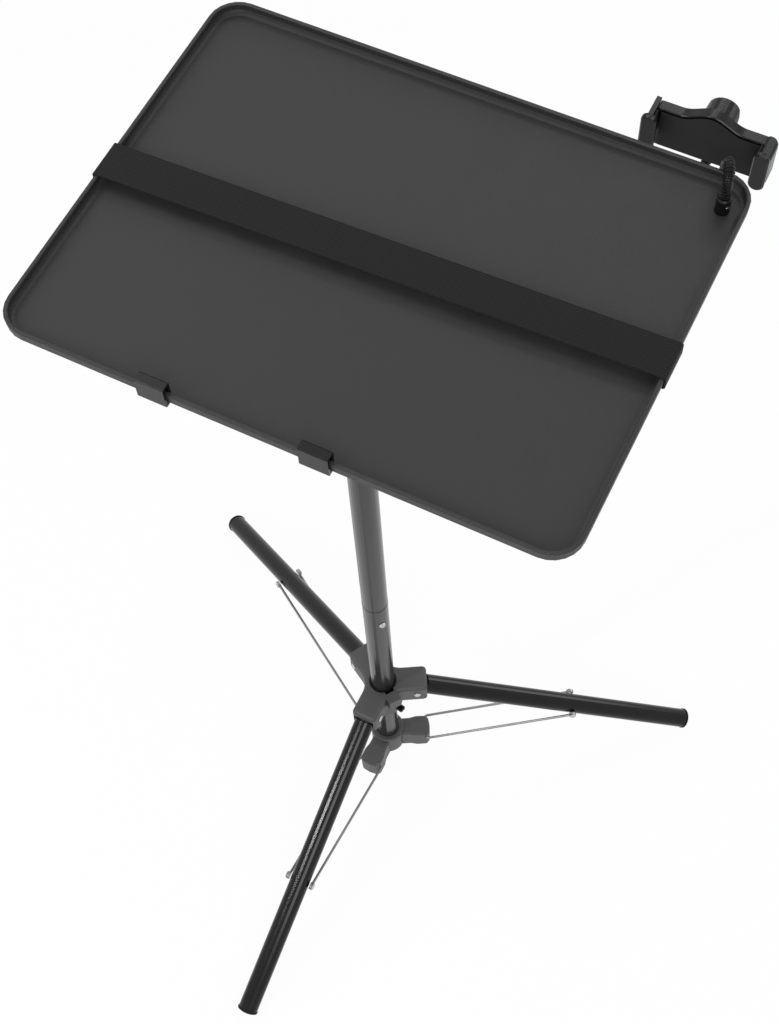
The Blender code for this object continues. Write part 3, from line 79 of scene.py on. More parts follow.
SAME_LEVEL = 1e-6       # heights closer than this count as one

Colour = tuple[float, float, float]
Point = tuple[float, float, float]
Tree = bpy.types.NodeTree
Socket = bpy.types.NodeSocket


class Texture(Enum):
    """Ways in which a finish varies over a surface."""

    GRAIN = "grain"
    STREAKS = "streaks"
    WEAVE = "weave"


@dataclass(frozen=True)
class Finish:
    """One surface finish.

    Attributes:
        slot: name of the record's material slot.
        colour: linear base colour.
        roughness: mean roughness.
        metallic: 1 for bare metal.
        texture: how it varies.
        scale: size of the pattern, in repeats per metre.
        depth: height of the bump, in metres.
        mottle: share by which the colour varies.
        patchy: how far the roughness varies.
        sheen: weight of the fabric sheen.
        specular: specular level, 0.5 for an ordinary gloss.
    """

    slot: str
    colour: Colour
    roughness: float
    metallic: float = 0.0
    texture: Texture = Texture.GRAIN
    scale: float = 1600.0
    depth: float = 0.00004
    mottle: float = 0.10
    patchy: float = 0.08
    sheen: float = 0.0
    specular: float = 0.5


FINISHES = (
    Finish("black_enamel", (0.003, 0.003, 0.0034), 0.13, texture=Texture.STREAKS, scale=260.0,
           depth=0.0000004, mottle=0.25, patchy=0.0, specular=0.24),
    Finish("grey_enamel", (0.020, 0.020, 0.0215), 0.22, texture=Texture.STREAKS, scale=160.0, depth=0.000001,
           mottle=0.06, patchy=0.02, specular=0.30),
    Finish("powder_coat", (0.022, 0.022, 0.023), 0.48, scale=2100.0, depth=0.00008, mottle=0.16, patchy=0.10,
           specular=0.32),
    Finish("hub_plastic", (0.057, 0.057, 0.059), 0.46, scale=1500.0, depth=0.00006, mottle=0.12,
           specular=0.4),
    Finish("black_plastic", (0.004, 0.004, 0.0043), 0.34, scale=1300.0, depth=0.00003, specular=0.16),
    Finish("holder_plastic", (0.0035, 0.0035, 0.0038), 0.26, scale=1500.0, depth=0.00003, mottle=0.12,
           specular=0.25),
    Finish("rubber", (0.009, 0.009, 0.009), 0.70, scale=900.0, depth=0.00005, specular=0.25),
    Finish("elastic", (0.008, 0.008, 0.0085), 0.86, texture=Texture.WEAVE, scale=1000.0, depth=0.00025,
           mottle=0.45, patchy=0.05, sheen=0.08, specular=0.2),
    Finish("bare_steel", (0.50, 0.50, 0.52), 0.26, metallic=1.0, texture=Texture.STREAKS, scale=900.0,
           depth=0.00001, mottle=0.08),
    Finish("dark_steel", (0.23, 0.23, 0.24), 0.36, metallic=1.0, texture=Texture.STREAKS, scale=700.0,
           depth=0.00001, mottle=0.12),
)


def calculate(tree: Tree, operation: str, *values: float | Socket, clamp: bool = False) -> Socket:
    """Add a Math node.

    Args:
        tree: the tree that gets it.
        operation: what the node does.
        values: its inputs in order, each a number or a socket.
        clamp: whether the result is kept from 0 to 1.

    Returns:
        The result's socket.
    """
    made = tree.nodes.new("ShaderNodeMath")
    made.operation = operation
    made.use_clamp = clamp
    for entry, value in zip(made.inputs, values):
        if isinstance(value, Socket):
            tree.links.new(value, entry)
        else:
            entry.default_value = value
    return made.outputs[0]


class NodeGroups:
    """Shared effects, each built once as a shader node group."""

    INPUTS = (("Colour", "NodeSocketColor"), ("Scale", "NodeSocketFloat"), ("Mottle", "NodeSocketFloat"),
              ("Roughness", "NodeSocketFloat"), ("Patchy", "NodeSocketFloat"))
    OUTPUTS = (("Colour", "NodeSocketColor"), ("Roughness", "NodeSocketFloat"),
               ("Height", "NodeSocketFloat"))
    NOISE_DETAIL = 3.0
    GRAIN_MOTTLES = 28.0        # broad patches per metre
    GRAIN_SHARE = 0.8           # fine pattern in the mottling
    STREAK_MOTTLES = 40.0
    STREAK_SHARE = 0.6
    STREAK_STRETCH = (1.0, 1.0, 0.06)
    THREADS = (("X", 0.1612), ("Y", 0.31))      # waves across and along the strap, as shares of the scale
    THREAD_WANDER = 0.6
    THREAD_DETAIL = 1.0
    THREAD_LEVEL = -0.6         # brings the mottling's mean near zero

    def __init__(self) -> None:
        """Build the groups for grain, streaks and weave."""
        self.groups = {
            Texture.GRAIN: self.make(Texture.GRAIN.value, self.wire_grain),
            Texture.STREAKS: self.make(Texture.STREAKS.value, self.wire_streaks),
            Texture.WEAVE: self.make(Texture.WEAVE.value, self.wire_weave),
        }

    def make(self, name: str, wire: Callable[[Tree, bpy.types.Node], tuple[Socket, Socket]]) -> Tree:
        """Make a group with the common sockets and wire its pattern.

        Args:
            name: name of the group.
            wire: function that takes the tree and its input node and gives the
                sockets of the fine pattern and of the broad mottling.

        Returns:
            The finished node tree.
        """
        tree = bpy.data.node_groups.new(name, "ShaderNodeTree")
        for direction, sockets in (("INPUT", self.INPUTS), ("OUTPUT", self.OUTPUTS)):
            for title, kind in sockets:
                tree.interface.new_socket(title, in_out=direction, socket_type=kind)
        entry = tree.nodes.new("NodeGroupInput")
        leave = tree.nodes.new("NodeGroupOutput")
        height, mottling = wire(tree, entry)
        shade = calculate(tree, "MULTIPLY_ADD", mottling, entry.outputs["Mottle"], 1.0)
        tint = tree.nodes.new("ShaderNodeVectorMath")
        tint.operation = "SCALE"
        tree.links.new(entry.outputs["Colour"], tint.inputs[0])
        tree.links.new(shade, tint.inputs["Scale"])
        tree.links.new(tint.outputs[0], leave.inputs["Colour"])
        rough = calculate(tree, "MULTIPLY_ADD", mottling, entry.outputs["Patchy"],
                          entry.outputs["Roughness"], clamp=True)
        tree.links.new(rough, leave.inputs["Roughness"])
        tree.links.new(height, leave.inputs["Height"])
        return tree

    def noise(self, tree: Tree, place: Socket, scale: float | Socket) -> Socket:
        """Add a noise texture centred on zero.

        Args:
            tree: the group being wired.
            place: socket with the coordinates.
            scale: of the noise, a number or a socket.

        Returns:
            A socket from about -1 to 1.
        """
        made = tree.nodes.new("ShaderNodeTexNoise")
        made.inputs["Detail"].default_value = self.NOISE_DETAIL
        if isinstance(scale, Socket):
            tree.links.new(scale, made.inputs["Scale"])
        else:
            made.inputs["Scale"].default_value = scale
        tree.links.new(place, made.inputs["Vector"])
        return calculate(tree, "MULTIPLY_ADD", made.outputs["Fac"], 2.0, -1.0)

    def wire_grain(self, tree: Tree, entry: bpy.types.Node) -> tuple[Socket, Socket]:
        """Fine even grain with broad, faint mottling.

        Args:
            tree: the group being wired.
            entry: its input node.

        Returns:
            The sockets of the height and of the mottling.
        """
        place = tree.nodes.new("ShaderNodeTexCoord").outputs["Object"]
        fine = self.noise(tree, place, entry.outputs["Scale"])
        broad = self.noise(tree, place, self.GRAIN_MOTTLES)
        return fine, calculate(tree, "MULTIPLY_ADD", fine, self.GRAIN_SHARE, broad)

    def wire_streaks(self, tree: Tree, entry: bpy.types.Node) -> tuple[Socket, Socket]:
        """Faint scratches drawn out along Z, as on a drawn tube.

        Args:
            tree: the group being wired.
            entry: its input node.

        Returns:
            The sockets of the height and of the mottling.
        """
        place = tree.nodes.new("ShaderNodeTexCoord").outputs["Object"]
        stretch = tree.nodes.new("ShaderNodeMapping")
        stretch.inputs["Scale"].default_value = self.STREAK_STRETCH
        tree.links.new(place, stretch.inputs["Vector"])
        fine = self.noise(tree, stretch.outputs[0], entry.outputs["Scale"])
        broad = self.noise(tree, place, self.STREAK_MOTTLES)
        return fine, calculate(tree, "MULTIPLY_ADD", fine, self.STREAK_SHARE, broad)

    def wire_weave(self, tree: Tree, entry: bpy.types.Node) -> tuple[Socket, Socket]:
        """Ribs along the strap crossed by fine threads, read from the piece's own UV map.

        Args:
            tree: the group being wired.
            entry: its input node.

        Returns:
            The sockets of the height and of the mottling.
        """
        place = tree.nodes.new("ShaderNodeTexCoord").outputs["UV"]
        waves = []
        for direction, share in self.THREADS:
            wave = tree.nodes.new("ShaderNodeTexWave")
            wave.wave_type = "BANDS"
            wave.bands_direction = direction
            wave.inputs["Distortion"].default_value = self.THREAD_WANDER
            wave.inputs["Detail"].default_value = self.THREAD_DETAIL
            scale = calculate(tree, "MULTIPLY", entry.outputs["Scale"], share)
            tree.links.new(scale, wave.inputs["Scale"])
            tree.links.new(place, wave.inputs["Vector"])
            waves.append(wave.outputs["Fac"])
        product = calculate(tree, "MULTIPLY", *waves)
        return product, calculate(tree, "MULTIPLY_ADD", product, 2.0, self.THREAD_LEVEL)


class FinishBook:
    """Builds each finish as a material and dresses the frame's nodes with them."""

    def __init__(self) -> None:
        """Make the node groups and a material for each finish."""
        self.groups = NodeGroups()
        self.materials = {finish.slot: self.make(finish) for finish in FINISHES}

    def make(self, finish: Finish) -> bpy.types.Material:
        """Build the material of one finish.

        Args:
            finish: the finish to build.

        Returns:
            The material, with its pattern wired in.
        """
        made = bpy.data.materials.new(finish.slot)
        made.use_nodes = True
        tree = made.node_tree
        shader = tree.nodes["Principled BSDF"]
        shader.inputs["Metallic"].default_value = finish.metallic
        shader.inputs["Sheen Weight"].default_value = finish.sheen
        shader.inputs["Specular IOR Level"].default_value = finish.specular
        pattern = tree.nodes.new("ShaderNodeGroup")
        pattern.node_tree = self.groups.groups[finish.texture]
        pattern.inputs["Colour"].default_value = (*finish.colour, 1.0)
        pattern.inputs["Scale"].default_value = finish.scale
        pattern.inputs["Mottle"].default_value = finish.mottle
        pattern.inputs["Roughness"].default_value = finish.roughness
        pattern.inputs["Patchy"].default_value = finish.patchy
        bump = tree.nodes.new("ShaderNodeBump")
        bump.inputs["Strength"].default_value = 1.0
        bump.inputs["Distance"].default_value = finish.depth
        tree.links.new(pattern.outputs["Colour"], shader.inputs["Base Color"])
        tree.links.new(pattern.outputs["Roughness"], shader.inputs["Roughness"])
        tree.links.new(pattern.outputs["Height"], bump.inputs["Height"])
        tree.links.new(bump.outputs["Normal"], shader.inputs["Normal"])
        return made

    def dress(self, frame: dict) -> None:
        """Give every CAD node the finish of its slot.
        """
        for part in frame["record"]["subparts"]:
            node = frame["nodes"][part["node"]]
            node.data.materials.clear()
            node.data.materials.append(self.materials[part["material_slot"]])

    def paint(self, piece: bpy.types.Object, slot: str) -> None:
        """Give a new piece one finish.

        Args:
            piece: the piece.
            slot: name of the finish.
        """
        piece.data.materials.clear()
        piece.data.materials.append(self.materials[slot])


class Bench:
    """Small modelling helpers shared by the pieces."""

    @staticmethod
    def clear() -> None:
        """Deselect everything, so that an operator acts on new geometry alone."""
        if bpy.context.mode != "OBJECT":
            bpy.ops.object.mode_set(mode="OBJECT")
        bpy.ops.object.select_all(action="DESELECT")

    @staticmethod
    def take(piece: bpy.types.Object) -> None:
        """Make a piece the active one and the only one selected."""
        Bench.clear()
        piece.select_set(True)
        bpy.context.view_layer.objects.active = piece

    @staticmethod
    def named(name: str) -> bpy.types.Object:
        """Name the active object and its mesh, and return it."""
        made = bpy.context.active_object
        made.name = name
        made.data.name = name
        return made

    @staticmethod
    def top_middle(node: str) -> Vector:
        """Middle of the top of a CAD node's box."""
        low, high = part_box(node)
        return Vector(((low[0] + high[0]) / 2, (low[1] + high[1]) / 2, high[2]))

    @staticmethod
    def settle(piece: bpy.types.Object, angle: float) -> None:
        """Put a piece's place into its mesh and smooth it by angle.

        Args:
            piece: the piece.
            angle: edges sharper than this many degrees stay sharp.
        """
        Bench.take(piece)
        bpy.ops.object.transform_apply(location=True, rotation=True, scale=True)
        bpy.ops.object.shade_smooth_by_angle(angle=math.radians(angle))

    @staticmethod
    def modify(piece: bpy.types.Object, kind: str, **settings: object) -> None:
        """Add a modifier to a piece and apply it.

        Args:
            piece: the piece.
            kind: the modifier's type.
            settings: its settings by name.
        """
        bpy.context.view_layer.objects.active = piece
        modifier = piece.modifiers.new(kind.title(), kind)
        for key, value in settings.items():
            setattr(modifier, key, value)
        bpy.ops.object.modifier_apply(modifier=modifier.name)

    @staticmethod
    def ease(piece: bpy.types.Object, width: float, segments: int, angle: float) -> None:
        """Bevel a piece's sharp edges.

        Args:
            piece: the piece.
            width: of the bevel.
            segments: faces across it.
            angle: edges sharper than this many degrees are bevelled.
        """
        Bench.modify(piece, "BEVEL", width=width, segments=segments, limit_method="ANGLE",
                     angle_limit=math.radians(angle))

    @staticmethod
    def repeat(piece: bpy.types.Object, count: int, step: Point, **settings: object) -> None:
        """Repeat a piece in a straight row.

        Args:
            piece: the piece.
            count: how many there are in the end.
            step: from one to the next.
            settings: further settings of the array.
        """
        Bench.modify(piece, "ARRAY", fit_type="FIXED_COUNT", count=count, use_relative_offset=False,
                     use_constant_offset=True, constant_offset_displace=step, **settings)

    @staticmethod
    def cut_across(axis: Vector, places: Iterable[float]) -> None:
        """Cut the whole edited mesh by planes square to an axis.

        Args:
            axis: a unit vector.
            places: of the planes, along the axis.
        """
        for place in places:
            bpy.ops.mesh.select_all(action="SELECT")
            bpy.ops.mesh.bisect(plane_co=axis * place, plane_no=axis)

    @staticmethod
    def pick_faces(piece: bpy.types.Object, wanted: Callable[[bmesh.types.BMFace], bool]) -> None:
        """Enter edit mode with only the faces that pass a test selected.

        Args:
            piece: the piece.
            wanted: function of a face that gives True for those to select.
        """
        bpy.context.view_layer.objects.active = piece
        bpy.ops.object.mode_set(mode="EDIT")
        bpy.ops.mesh.select_mode(type="FACE")
        bpy.ops.mesh.select_all(action="DESELECT")
        mesh = bmesh.from_edit_mesh(piece.data)
        for face in mesh.faces:
            face.select_set(wanted(face))
        bmesh.update_edit_mesh(piece.data)

    @staticmethod
    def catmull(points: list[Vector], per_span: int) -> list[Vector]:
        """Points on a smooth curve through a route.

        Args:
            points: the route's points.
            per_span: points made between each two of them.

        Returns:
            The points of the curve, its ends included.
        """
        route = [2 * points[0] - points[1]] + points + [2 * points[-1] - points[-2]]
        made = []
        for first, second, third, fourth in zip(route, route[1:], route[2:], route[3:]):
            knots = [0.0]
            for one, two in ((first, second), (second, third), (third, fourth)):
                knots.append(knots[-1] + math.sqrt((two - one).length))
            for step in range(per_span):
                knot = knots[1] + (knots[2] - knots[1]) * step / per_span
                level = [first, second, third, fourth]
                for spans in (((0, 1), (1, 2), (2, 3)), ((0, 2), (1, 3)), ((1, 2),)):
                    shares = [(knot - knots[start]) / (knots[end] - knots[start]) for start, end in spans]
                    level = [one.lerp(two, share) for one, two, share in zip(level, level[1:], shares)]
                made.append(level[0])
        made.append(route[-2])
        return made


@dataclass
class Neck:
    """The ribbed gooseneck.

    Attributes:
        route: the neck's middle line from the top of its foot.
        per_span: points of the guide between two points of the route.
        diameter: across the ribs.
        groove: depth between two ribs.
        pitch: from rib to rib.
        cuts: places along a rib at which its tube is cut, as shares of the pitch.
        crown: part of the pitch that stands out as the rib.
        sides: sides of the tube.
        gap: clearance to the ferrules.
        weld: distance within which the ends of two ribs are merged.
    """

    route: tuple[Point, ...] = (
        (0.0000, 0.0000, 0.0000), (0.0000, 0.0000, 0.0073), (-0.0007, 0.0026, 0.0134),
        (-0.0025, 0.0090, 0.0166), (-0.0049, 0.0154, 0.0143), (-0.0075, 0.0230, 0.0053),
        (-0.0093, 0.0286, -0.0047), (-0.0100, 0.0306, -0.0157), (-0.0104, 0.0309, -0.0277),
        (-0.0107, 0.0309, -0.0417), (-0.0113, 0.0311, -0.0557), (-0.0130, 0.0338, -0.0687),
        (-0.0170, 0.0410, -0.0782), (-0.0225, 0.0510, -0.0827), (-0.0290, 0.0620, -0.0867),
        (-0.0355, 0.0730, -0.0947), (-0.0405, 0.0850, -0.1057), (-0.0430, 0.0990, -0.1142),
        (-0.0425, 0.1140, -0.1157), (-0.0400, 0.1250, -0.1092), (-0.0370, 0.1292, -0.0967),
        (-0.0340, 0.1260, -0.0832), (-0.0320, 0.1185, -0.0717), (-0.0305, 0.1100, -0.0582),
        (-0.0300, 0.1030, -0.0477), (-0.0300, 0.0974, -0.0406), (-0.0300, 0.0917, -0.0349),
    )
    per_span: int = 8
    diameter: float = 0.0076
    groove: float = 0.0006
    pitch: float = 0.0022
    cuts: tuple[float, ...] = (0.22, 0.36, 0.64, 0.78)
    crown: tuple[float, float] = (0.3, 0.7)
    sides: int = 18
    gap: float = 0.0003
    weld: float = 0.00002

    def build(self, book: FinishBook) -> bpy.types.Object:
        """Model one rib, repeat it and bend the row along the route.

        Args:
            book: the finishes.

        Returns:
            The neck.
        """
        foot = Bench.top_middle("gooseneck_base")
        foot.z += self.gap
        middle = Bench.catmull([foot + Vector(step) for step in self.route], self.per_span)
        length = sum((two - one).length for one, two in zip(middle, middle[1:]))
        ribs = round(length / self.pitch)
        rib = self.rib(length / ribs)
        guide = self.guide(middle)
        Bench.repeat(rib, ribs, (length / ribs, 0.0, 0.0), use_merge_vertices=True,
                     merge_threshold=self.weld)
        Bench.modify(rib, "CURVE", object=guide, deform_axis="POS_X")
        bpy.data.objects.remove(guide, do_unlink=True)
        self.close_ends(rib)
        Bench.settle(rib, angle=50.0)
        book.paint(rib, "black_plastic")
        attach(rib, "tray")
        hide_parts("gooseneck")
        return rib

    def rib(self, length: float) -> bpy.types.Object:
        """Model one rib along X: a short open tube that swells in its middle.

        Args:
            length: of the rib.

        Returns:
            The rib.
        """
        Bench.clear()
        bpy.ops.mesh.primitive_cylinder_add(vertices=self.sides, radius=self.diameter / 2 - self.groove,
                                            depth=length, end_fill_type="NOTHING",
                                            location=(length / 2, 0.0, 0.0),
                                            rotation=(0.0, math.pi / 2, 0.0))
        made = Bench.named("neck_ribs")
        bpy.ops.object.transform_apply(location=True, rotation=True, scale=True)
        bpy.ops.object.mode_set(mode="EDIT")
        Bench.cut_across(X_AXIS, [length * place for place in self.cuts])
        mesh = bmesh.from_edit_mesh(made.data)
        start, end = self.crown
        for vertex in mesh.verts:
            if start < vertex.co.x / length < end:
                outward = Vector((0.0, vertex.co.y, vertex.co.z)).normalized()
                vertex.co += outward * self.groove
        bmesh.update_edit_mesh(made.data)
        bpy.ops.object.mode_set(mode="OBJECT")
        return made

    @staticmethod
    def guide(middle: list[Vector]) -> bpy.types.Object:
        """Make a curve object along the neck's middle line.

        Args:
            middle: its points.

        Returns:
            The curve object.
        """
        curve = bpy.data.curves.new("neck_guide", "CURVE")
        curve.dimensions = "3D"
        curve.twist_mode = "MINIMUM"
        spline = curve.splines.new("POLY")
        spline.points.add(len(middle) - 1)
        for point, place in zip(spline.points, middle):
            point.co = (*place, 1.0)
        made = bpy.data.objects.new("neck_guide", curve)
        bpy.context.collection.objects.link(made)
        return made

    @staticmethod
    def close_ends(piece: bpy.types.Object) -> None:
        """Close both open ends of a tube.

        Args:
            piece: the tube.
        """
        Bench.take(piece)
        bpy.ops.object.mode_set(mode="EDIT")
        bpy.ops.mesh.select_mode(type="EDGE")
        bpy.ops.mesh.select_all(action="DESELECT")
        bpy.ops.mesh.select_non_manifold(extend=False)
        bpy.ops.mesh.fill_holes(sides=0)
        bpy.ops.mesh.select_all(action="SELECT")
        bpy.ops.mesh.normals_make_consistent(inside=False)
        bpy.ops.object.mode_set(mode="OBJECT")


@dataclass
class Strap:
    """The elastic strap, woven, with a flap under each edge of the tray.

    Attributes:
        width: of the strap.
        thickness: of the elastic.
        flap: how far each end reaches in under the tray.
        left_y: middle of the strap at the tray's left edge.
        right_y: and at its right edge.
        gap: clearance to the tray.
        bend: radius of the turns over the rims.
        bend_steps: faces along each turn.
        across: rows of faces over the width.
        along: columns of faces over the tray.
    """

    width: float = 0.0285
    thickness: float = 0.0011
    flap: float = 0.028
    left_y: float = 0.0395
    right_y: float = 0.0510
    gap: float = 0.00035
    bend: float = 0.0014
    bend_steps: int = 6
    across: int = 14
    along: int = 60

    def path(self) -> list[tuple[float, float]]:
        """Middle line of the elastic in the XZ plane, from the left flap to the right one."""
        low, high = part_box("tray_pan")
        off = self.gap + self.thickness / 2
        left, right = low[0] - off, high[0] + off
        top = high[2] + off
        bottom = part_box("tilt_bracket")[1][2] + self.gap - off
        points = [(low[0] + self.flap, bottom), (low[0] + self.flap / 2, bottom)]
        points += self.turn((left + self.bend, bottom + self.bend), 270, 180)
        points += self.turn((left + self.bend, top - self.bend), 180, 90)
        for step in range(1, self.along):
            share = step / self.along
            points.append((left + self.bend + (right - left - 2 * self.bend) * share, top))
        points += self.turn((right - self.bend, top - self.bend), 90, 0)
        points += self.turn((right - self.bend, bottom + self.bend), 0, -90)
        points += [(high[0] - self.flap / 2, bottom), (high[0] - self.flap, bottom)]
        return points

    def turn(self, centre: tuple[float, float], start: float, end: float) -> list[tuple[float, float]]:
        """Points of one rounded turn, with angles in degrees.

        Args:
            centre: of the turn.
            start: first angle.
            end: last angle.

        Returns:
            Its points.
        """
        made = []
        for step in range(self.bend_steps + 1):
            angle = math.radians(start + (end - start) * step / self.bend_steps)
            made.append((centre[0] + self.bend * math.cos(angle), centre[1] + self.bend * math.sin(angle)))
        return made

    def build(self, book: FinishBook) -> bpy.types.Object:
        """Lay the elastic over the tray and give it its thickness.

        Args:
            book: the finishes.

        Returns:
            The strap.
        """
        path = self.path()
        lengths = [0.0]
        for one, two in zip(path, path[1:]):
            lengths.append(lengths[-1] + math.dist(one, two))
        made = bpy.data.objects.new("strap_elastic", self.sheet(path, lengths))
        bpy.context.collection.objects.link(made)
        Bench.take(made)
        bpy.ops.object.mode_set(mode="EDIT")
        bpy.ops.mesh.select_all(action="SELECT")
        bpy.ops.mesh.normals_make_consistent(inside=False)
        bpy.ops.object.mode_set(mode="OBJECT")
        Bench.modify(made, "SOLIDIFY", thickness=self.thickness, offset=0.0)
        Bench.settle(made, angle=40.0)
        book.paint(made, "elastic")
        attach(made, "tray")
        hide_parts("strap")
        return made

    def sheet(self, path: list[tuple[float, float]], lengths: list[float]) -> bpy.types.Mesh:
        """Make the elastic's middle surface, with its own flat size as its UV map.

        Args:
            path: its middle line in the XZ plane.
            lengths: distance along the line to each of its points.

        Returns:
            The mesh.
        """
        low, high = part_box("tray_pan")
        points = []
        for x, z in path:
            share = (x - low[0]) / (high[0] - low[0])
            middle = self.left_y + (self.right_y - self.left_y) * share
            for row in range(self.across + 1):
                points.append((x, middle + self.width * (row / self.across - 0.5), z))
        faces = []
        rows = self.across + 1
        for step in range(len(path) - 1):
            for row in range(self.across):
                corner = step * rows + row
                faces.append((corner, corner + 1, corner + 1 + rows, corner + rows))
        mesh = bpy.data.meshes.new("strap_elastic")
        mesh.from_pydata(points, [], faces)
        layer = mesh.uv_layers.new(name="UVMap")
        for loop in mesh.loops:
            step, row = divmod(loop.vertex_index, rows)
            layer.data[loop.index].uv = (self.width * row / self.across, lengths[step])
        return mesh


@dataclass
class GrubScrews:
    """Small socket screws in the neck's foot and the lower hub.

    Attributes:
        radius: of a screw.
        length: of the piece that stands for it.
        sides: of its round.
        proud: how far it stands out.
        socket: radius of its socket.
        socket_depth: of the socket.
        foot_radius: of the neck's foot.
        foot_drop: from the foot's top down to the screw.
        foot_azimuth: of the screw in the foot, in degrees.
        collar_radius: of the lower hub's collar.
        collar_drop: from the collar's top down to the screw.
        collar_azimuth: of the screw in the collar, between two arms.
    """

    radius: float = 0.0013
    length: float = 0.0010
    sides: int = 24
    proud: float = 0.0004
    socket: float = 0.0007
    socket_depth: float = 0.0006
    foot_radius: float = 0.0050
    foot_drop: float = 0.0062
    foot_azimuth: float = -38.0
    collar_radius: float = 0.0165
    collar_drop: float = 0.0060
    collar_azimuth: float = 205.0

    def screw(self, name: str, place: Vector, azimuth: float) -> bpy.types.Object:
        """Model one screw that looks out at an azimuth.

        Args:
            name: of the piece.
            place: middle of the face that it stands in.
            azimuth: direction it faces, in degrees.

        Returns:
            The screw.
        """
        Bench.clear()
        bpy.ops.mesh.primitive_cylinder_add(vertices=self.sides, radius=self.radius, depth=self.length,
                                            location=(0.0, 0.0, self.proud - self.length / 2))
        made = Bench.named(name)
        bpy.ops.object.transform_apply(location=True, rotation=True, scale=True)
        Bench.pick_faces(made, lambda face: face.normal.z > FACING)
        bpy.ops.mesh.inset(thickness=self.radius - self.socket, depth=0.0)
        bpy.ops.mesh.extrude_region_move(TRANSFORM_OT_translate={"value": (0.0, 0.0, -self.socket_depth)})
        bpy.ops.object.mode_set(mode="OBJECT")
        turn = Matrix.Rotation(math.radians(azimuth), 4, "Z") @ Matrix.Rotation(math.pi / 2, 4, "Y")
        made.matrix_world = Matrix.Translation(place) @ turn
        Bench.settle(made, angle=30.0)
        return made

    def build(self, book: FinishBook) -> list[bpy.types.Object]:
        """Place the screws of the neck's foot and of the lower hub.

        Args:
            book: the finishes.

        Returns:
            The screws.
        """
        foot = Bench.top_middle("gooseneck_base") - Z_AXIS * self.foot_drop
        collar = Z_AXIS * (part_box("lower_hub")[1][2] - self.collar_drop)
        made = []
        for name, middle, radius, azimuth, body in (
                ("neck_grub_screw", foot, self.foot_radius, self.foot_azimuth, "tray"),
                ("hub_grub_screw", collar, self.collar_radius, self.collar_azimuth, "base")):
            angle = math.radians(azimuth)
            outward = Vector((math.cos(angle), math.sin(angle), 0.0))
            screw = self.screw(name, middle + outward * radius, azimuth)
            book.paint(screw, "bare_steel")
            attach(screw, body)
            made.append(screw)
        return made


@dataclass
class GripPads:
    """Rubber pads of the phone holder, with eased edges and with grooves on the jaws.

    Attributes:
        edge: radius of the edges.
        groove: depth of a groove.
        grooves: grooves on a jaw pad.
        share: width of a groove as a share of its pitch.
        crest: rise of the face pad's wave, which follows the plate's edge.
        crest_half: half of the wave's width.
        steps: columns that shape the wave.
    """

    edge: float = 0.0004
    groove: float = 0.0003
    grooves: int = 6
    share: float = 0.36
    crest: float = 0.0083
    crest_half: float = 0.0230
    steps: int = 24

    def build(self, book: FinishBook) -> list[bpy.types.Object]:
        """Make the three pads.

        Args:
            book: the finishes.

        Returns:
            The pads.
        """
        face = self.slab("face_pad_rubber", "holder_face_pad")
        middle = self.centre("holder_face_pad").x
        self.raise_crest(face, middle)
        made = [(face, "holder", "holder_face_pad")]
        for name, node, body in (("fixed_pad_rubber", "fixed_jaw_pad", "holder"),
                                 ("sliding_pad_rubber", "sliding_jaw_pad", "jaw")):
            pad = self.slab(name, node)
            inward = X_AXIS * math.copysign(1.0, middle - self.centre(node).x)
            self.cut_grooves(pad, node, inward)
            made.append((pad, body, node))
        for pad, body, node in made:
            Bench.ease(pad, width=self.edge, segments=2, angle=50.0)
            Bench.settle(pad, angle=40.0)
            book.paint(pad, "rubber")
            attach(pad, body)
            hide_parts(node)
        return [pad for pad, _, _ in made]

    @staticmethod
    def centre(node: str) -> Vector:
        """Middle of a CAD node's box."""
        low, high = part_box(node)
        return (Vector(low) + Vector(high)) / 2

    def slab(self, name: str, node: str) -> bpy.types.Object:
        """Make a slab that fills a CAD node's box.

        Args:
            name: of the piece.
            node: the CAD node.

        Returns:
            The slab.
        """
        low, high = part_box(node)
        Bench.clear()
        bpy.ops.mesh.primitive_cube_add(size=1.0, location=self.centre(node))
        made = Bench.named(name)
        made.scale = Vector(high) - Vector(low)
        bpy.ops.object.transform_apply(location=True, rotation=True, scale=True)
        return made

    def raise_crest(self, pad: bpy.types.Object, middle: float) -> None:
        """Draw the face pad's upper edge up into the plate's wave.

        Args:
            pad: the face pad.
            middle: where the wave stands.
        """
        top = max(vertex.co.z for vertex in pad.data.vertices)
        columns = [middle + self.crest_half * (2 * step / self.steps - 1) for step in range(self.steps + 1)]
        bpy.ops.object.mode_set(mode="EDIT")
        Bench.cut_across(X_AXIS, columns)
        bpy.ops.object.mode_set(mode="OBJECT")
        for vertex in pad.data.vertices:
            share = (vertex.co.x - middle) / self.crest_half
            if math.isclose(vertex.co.z, top, abs_tol=SAME_LEVEL) and abs(share) < 1.0:
                vertex.co.z += self.crest * math.cos(math.pi * share / 2) ** 2

    def cut_grooves(self, pad: bpy.types.Object, node: str, outward: Vector) -> None:
        """Cut level grooves into a pad's grip face.

        Args:
            pad: the pad.
            node: the CAD node that it stands for.
            outward: direction in which the grip face looks.
        """
        low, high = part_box(node)
        pitch = (high[2] - low[2]) / self.grooves
        half = pitch * self.share / 2
        middles = [low[2] + pitch * (index + 0.5) for index in range(self.grooves)]
        bpy.ops.object.mode_set(mode="EDIT")
        Bench.cut_across(Z_AXIS, [middle + side for middle in middles for side in (-half, half)])
        bpy.ops.object.mode_set(mode="OBJECT")
        Bench.pick_faces(pad, lambda face: face.normal.dot(outward) > FACING and any(
            abs(face.calc_center_median().z - middle) < half for middle in middles))
        bpy.ops.mesh.extrude_region_move(TRANSFORM_OT_translate={"value": tuple(-outward * self.groove)})
        bpy.ops.object.mode_set(mode="OBJECT")


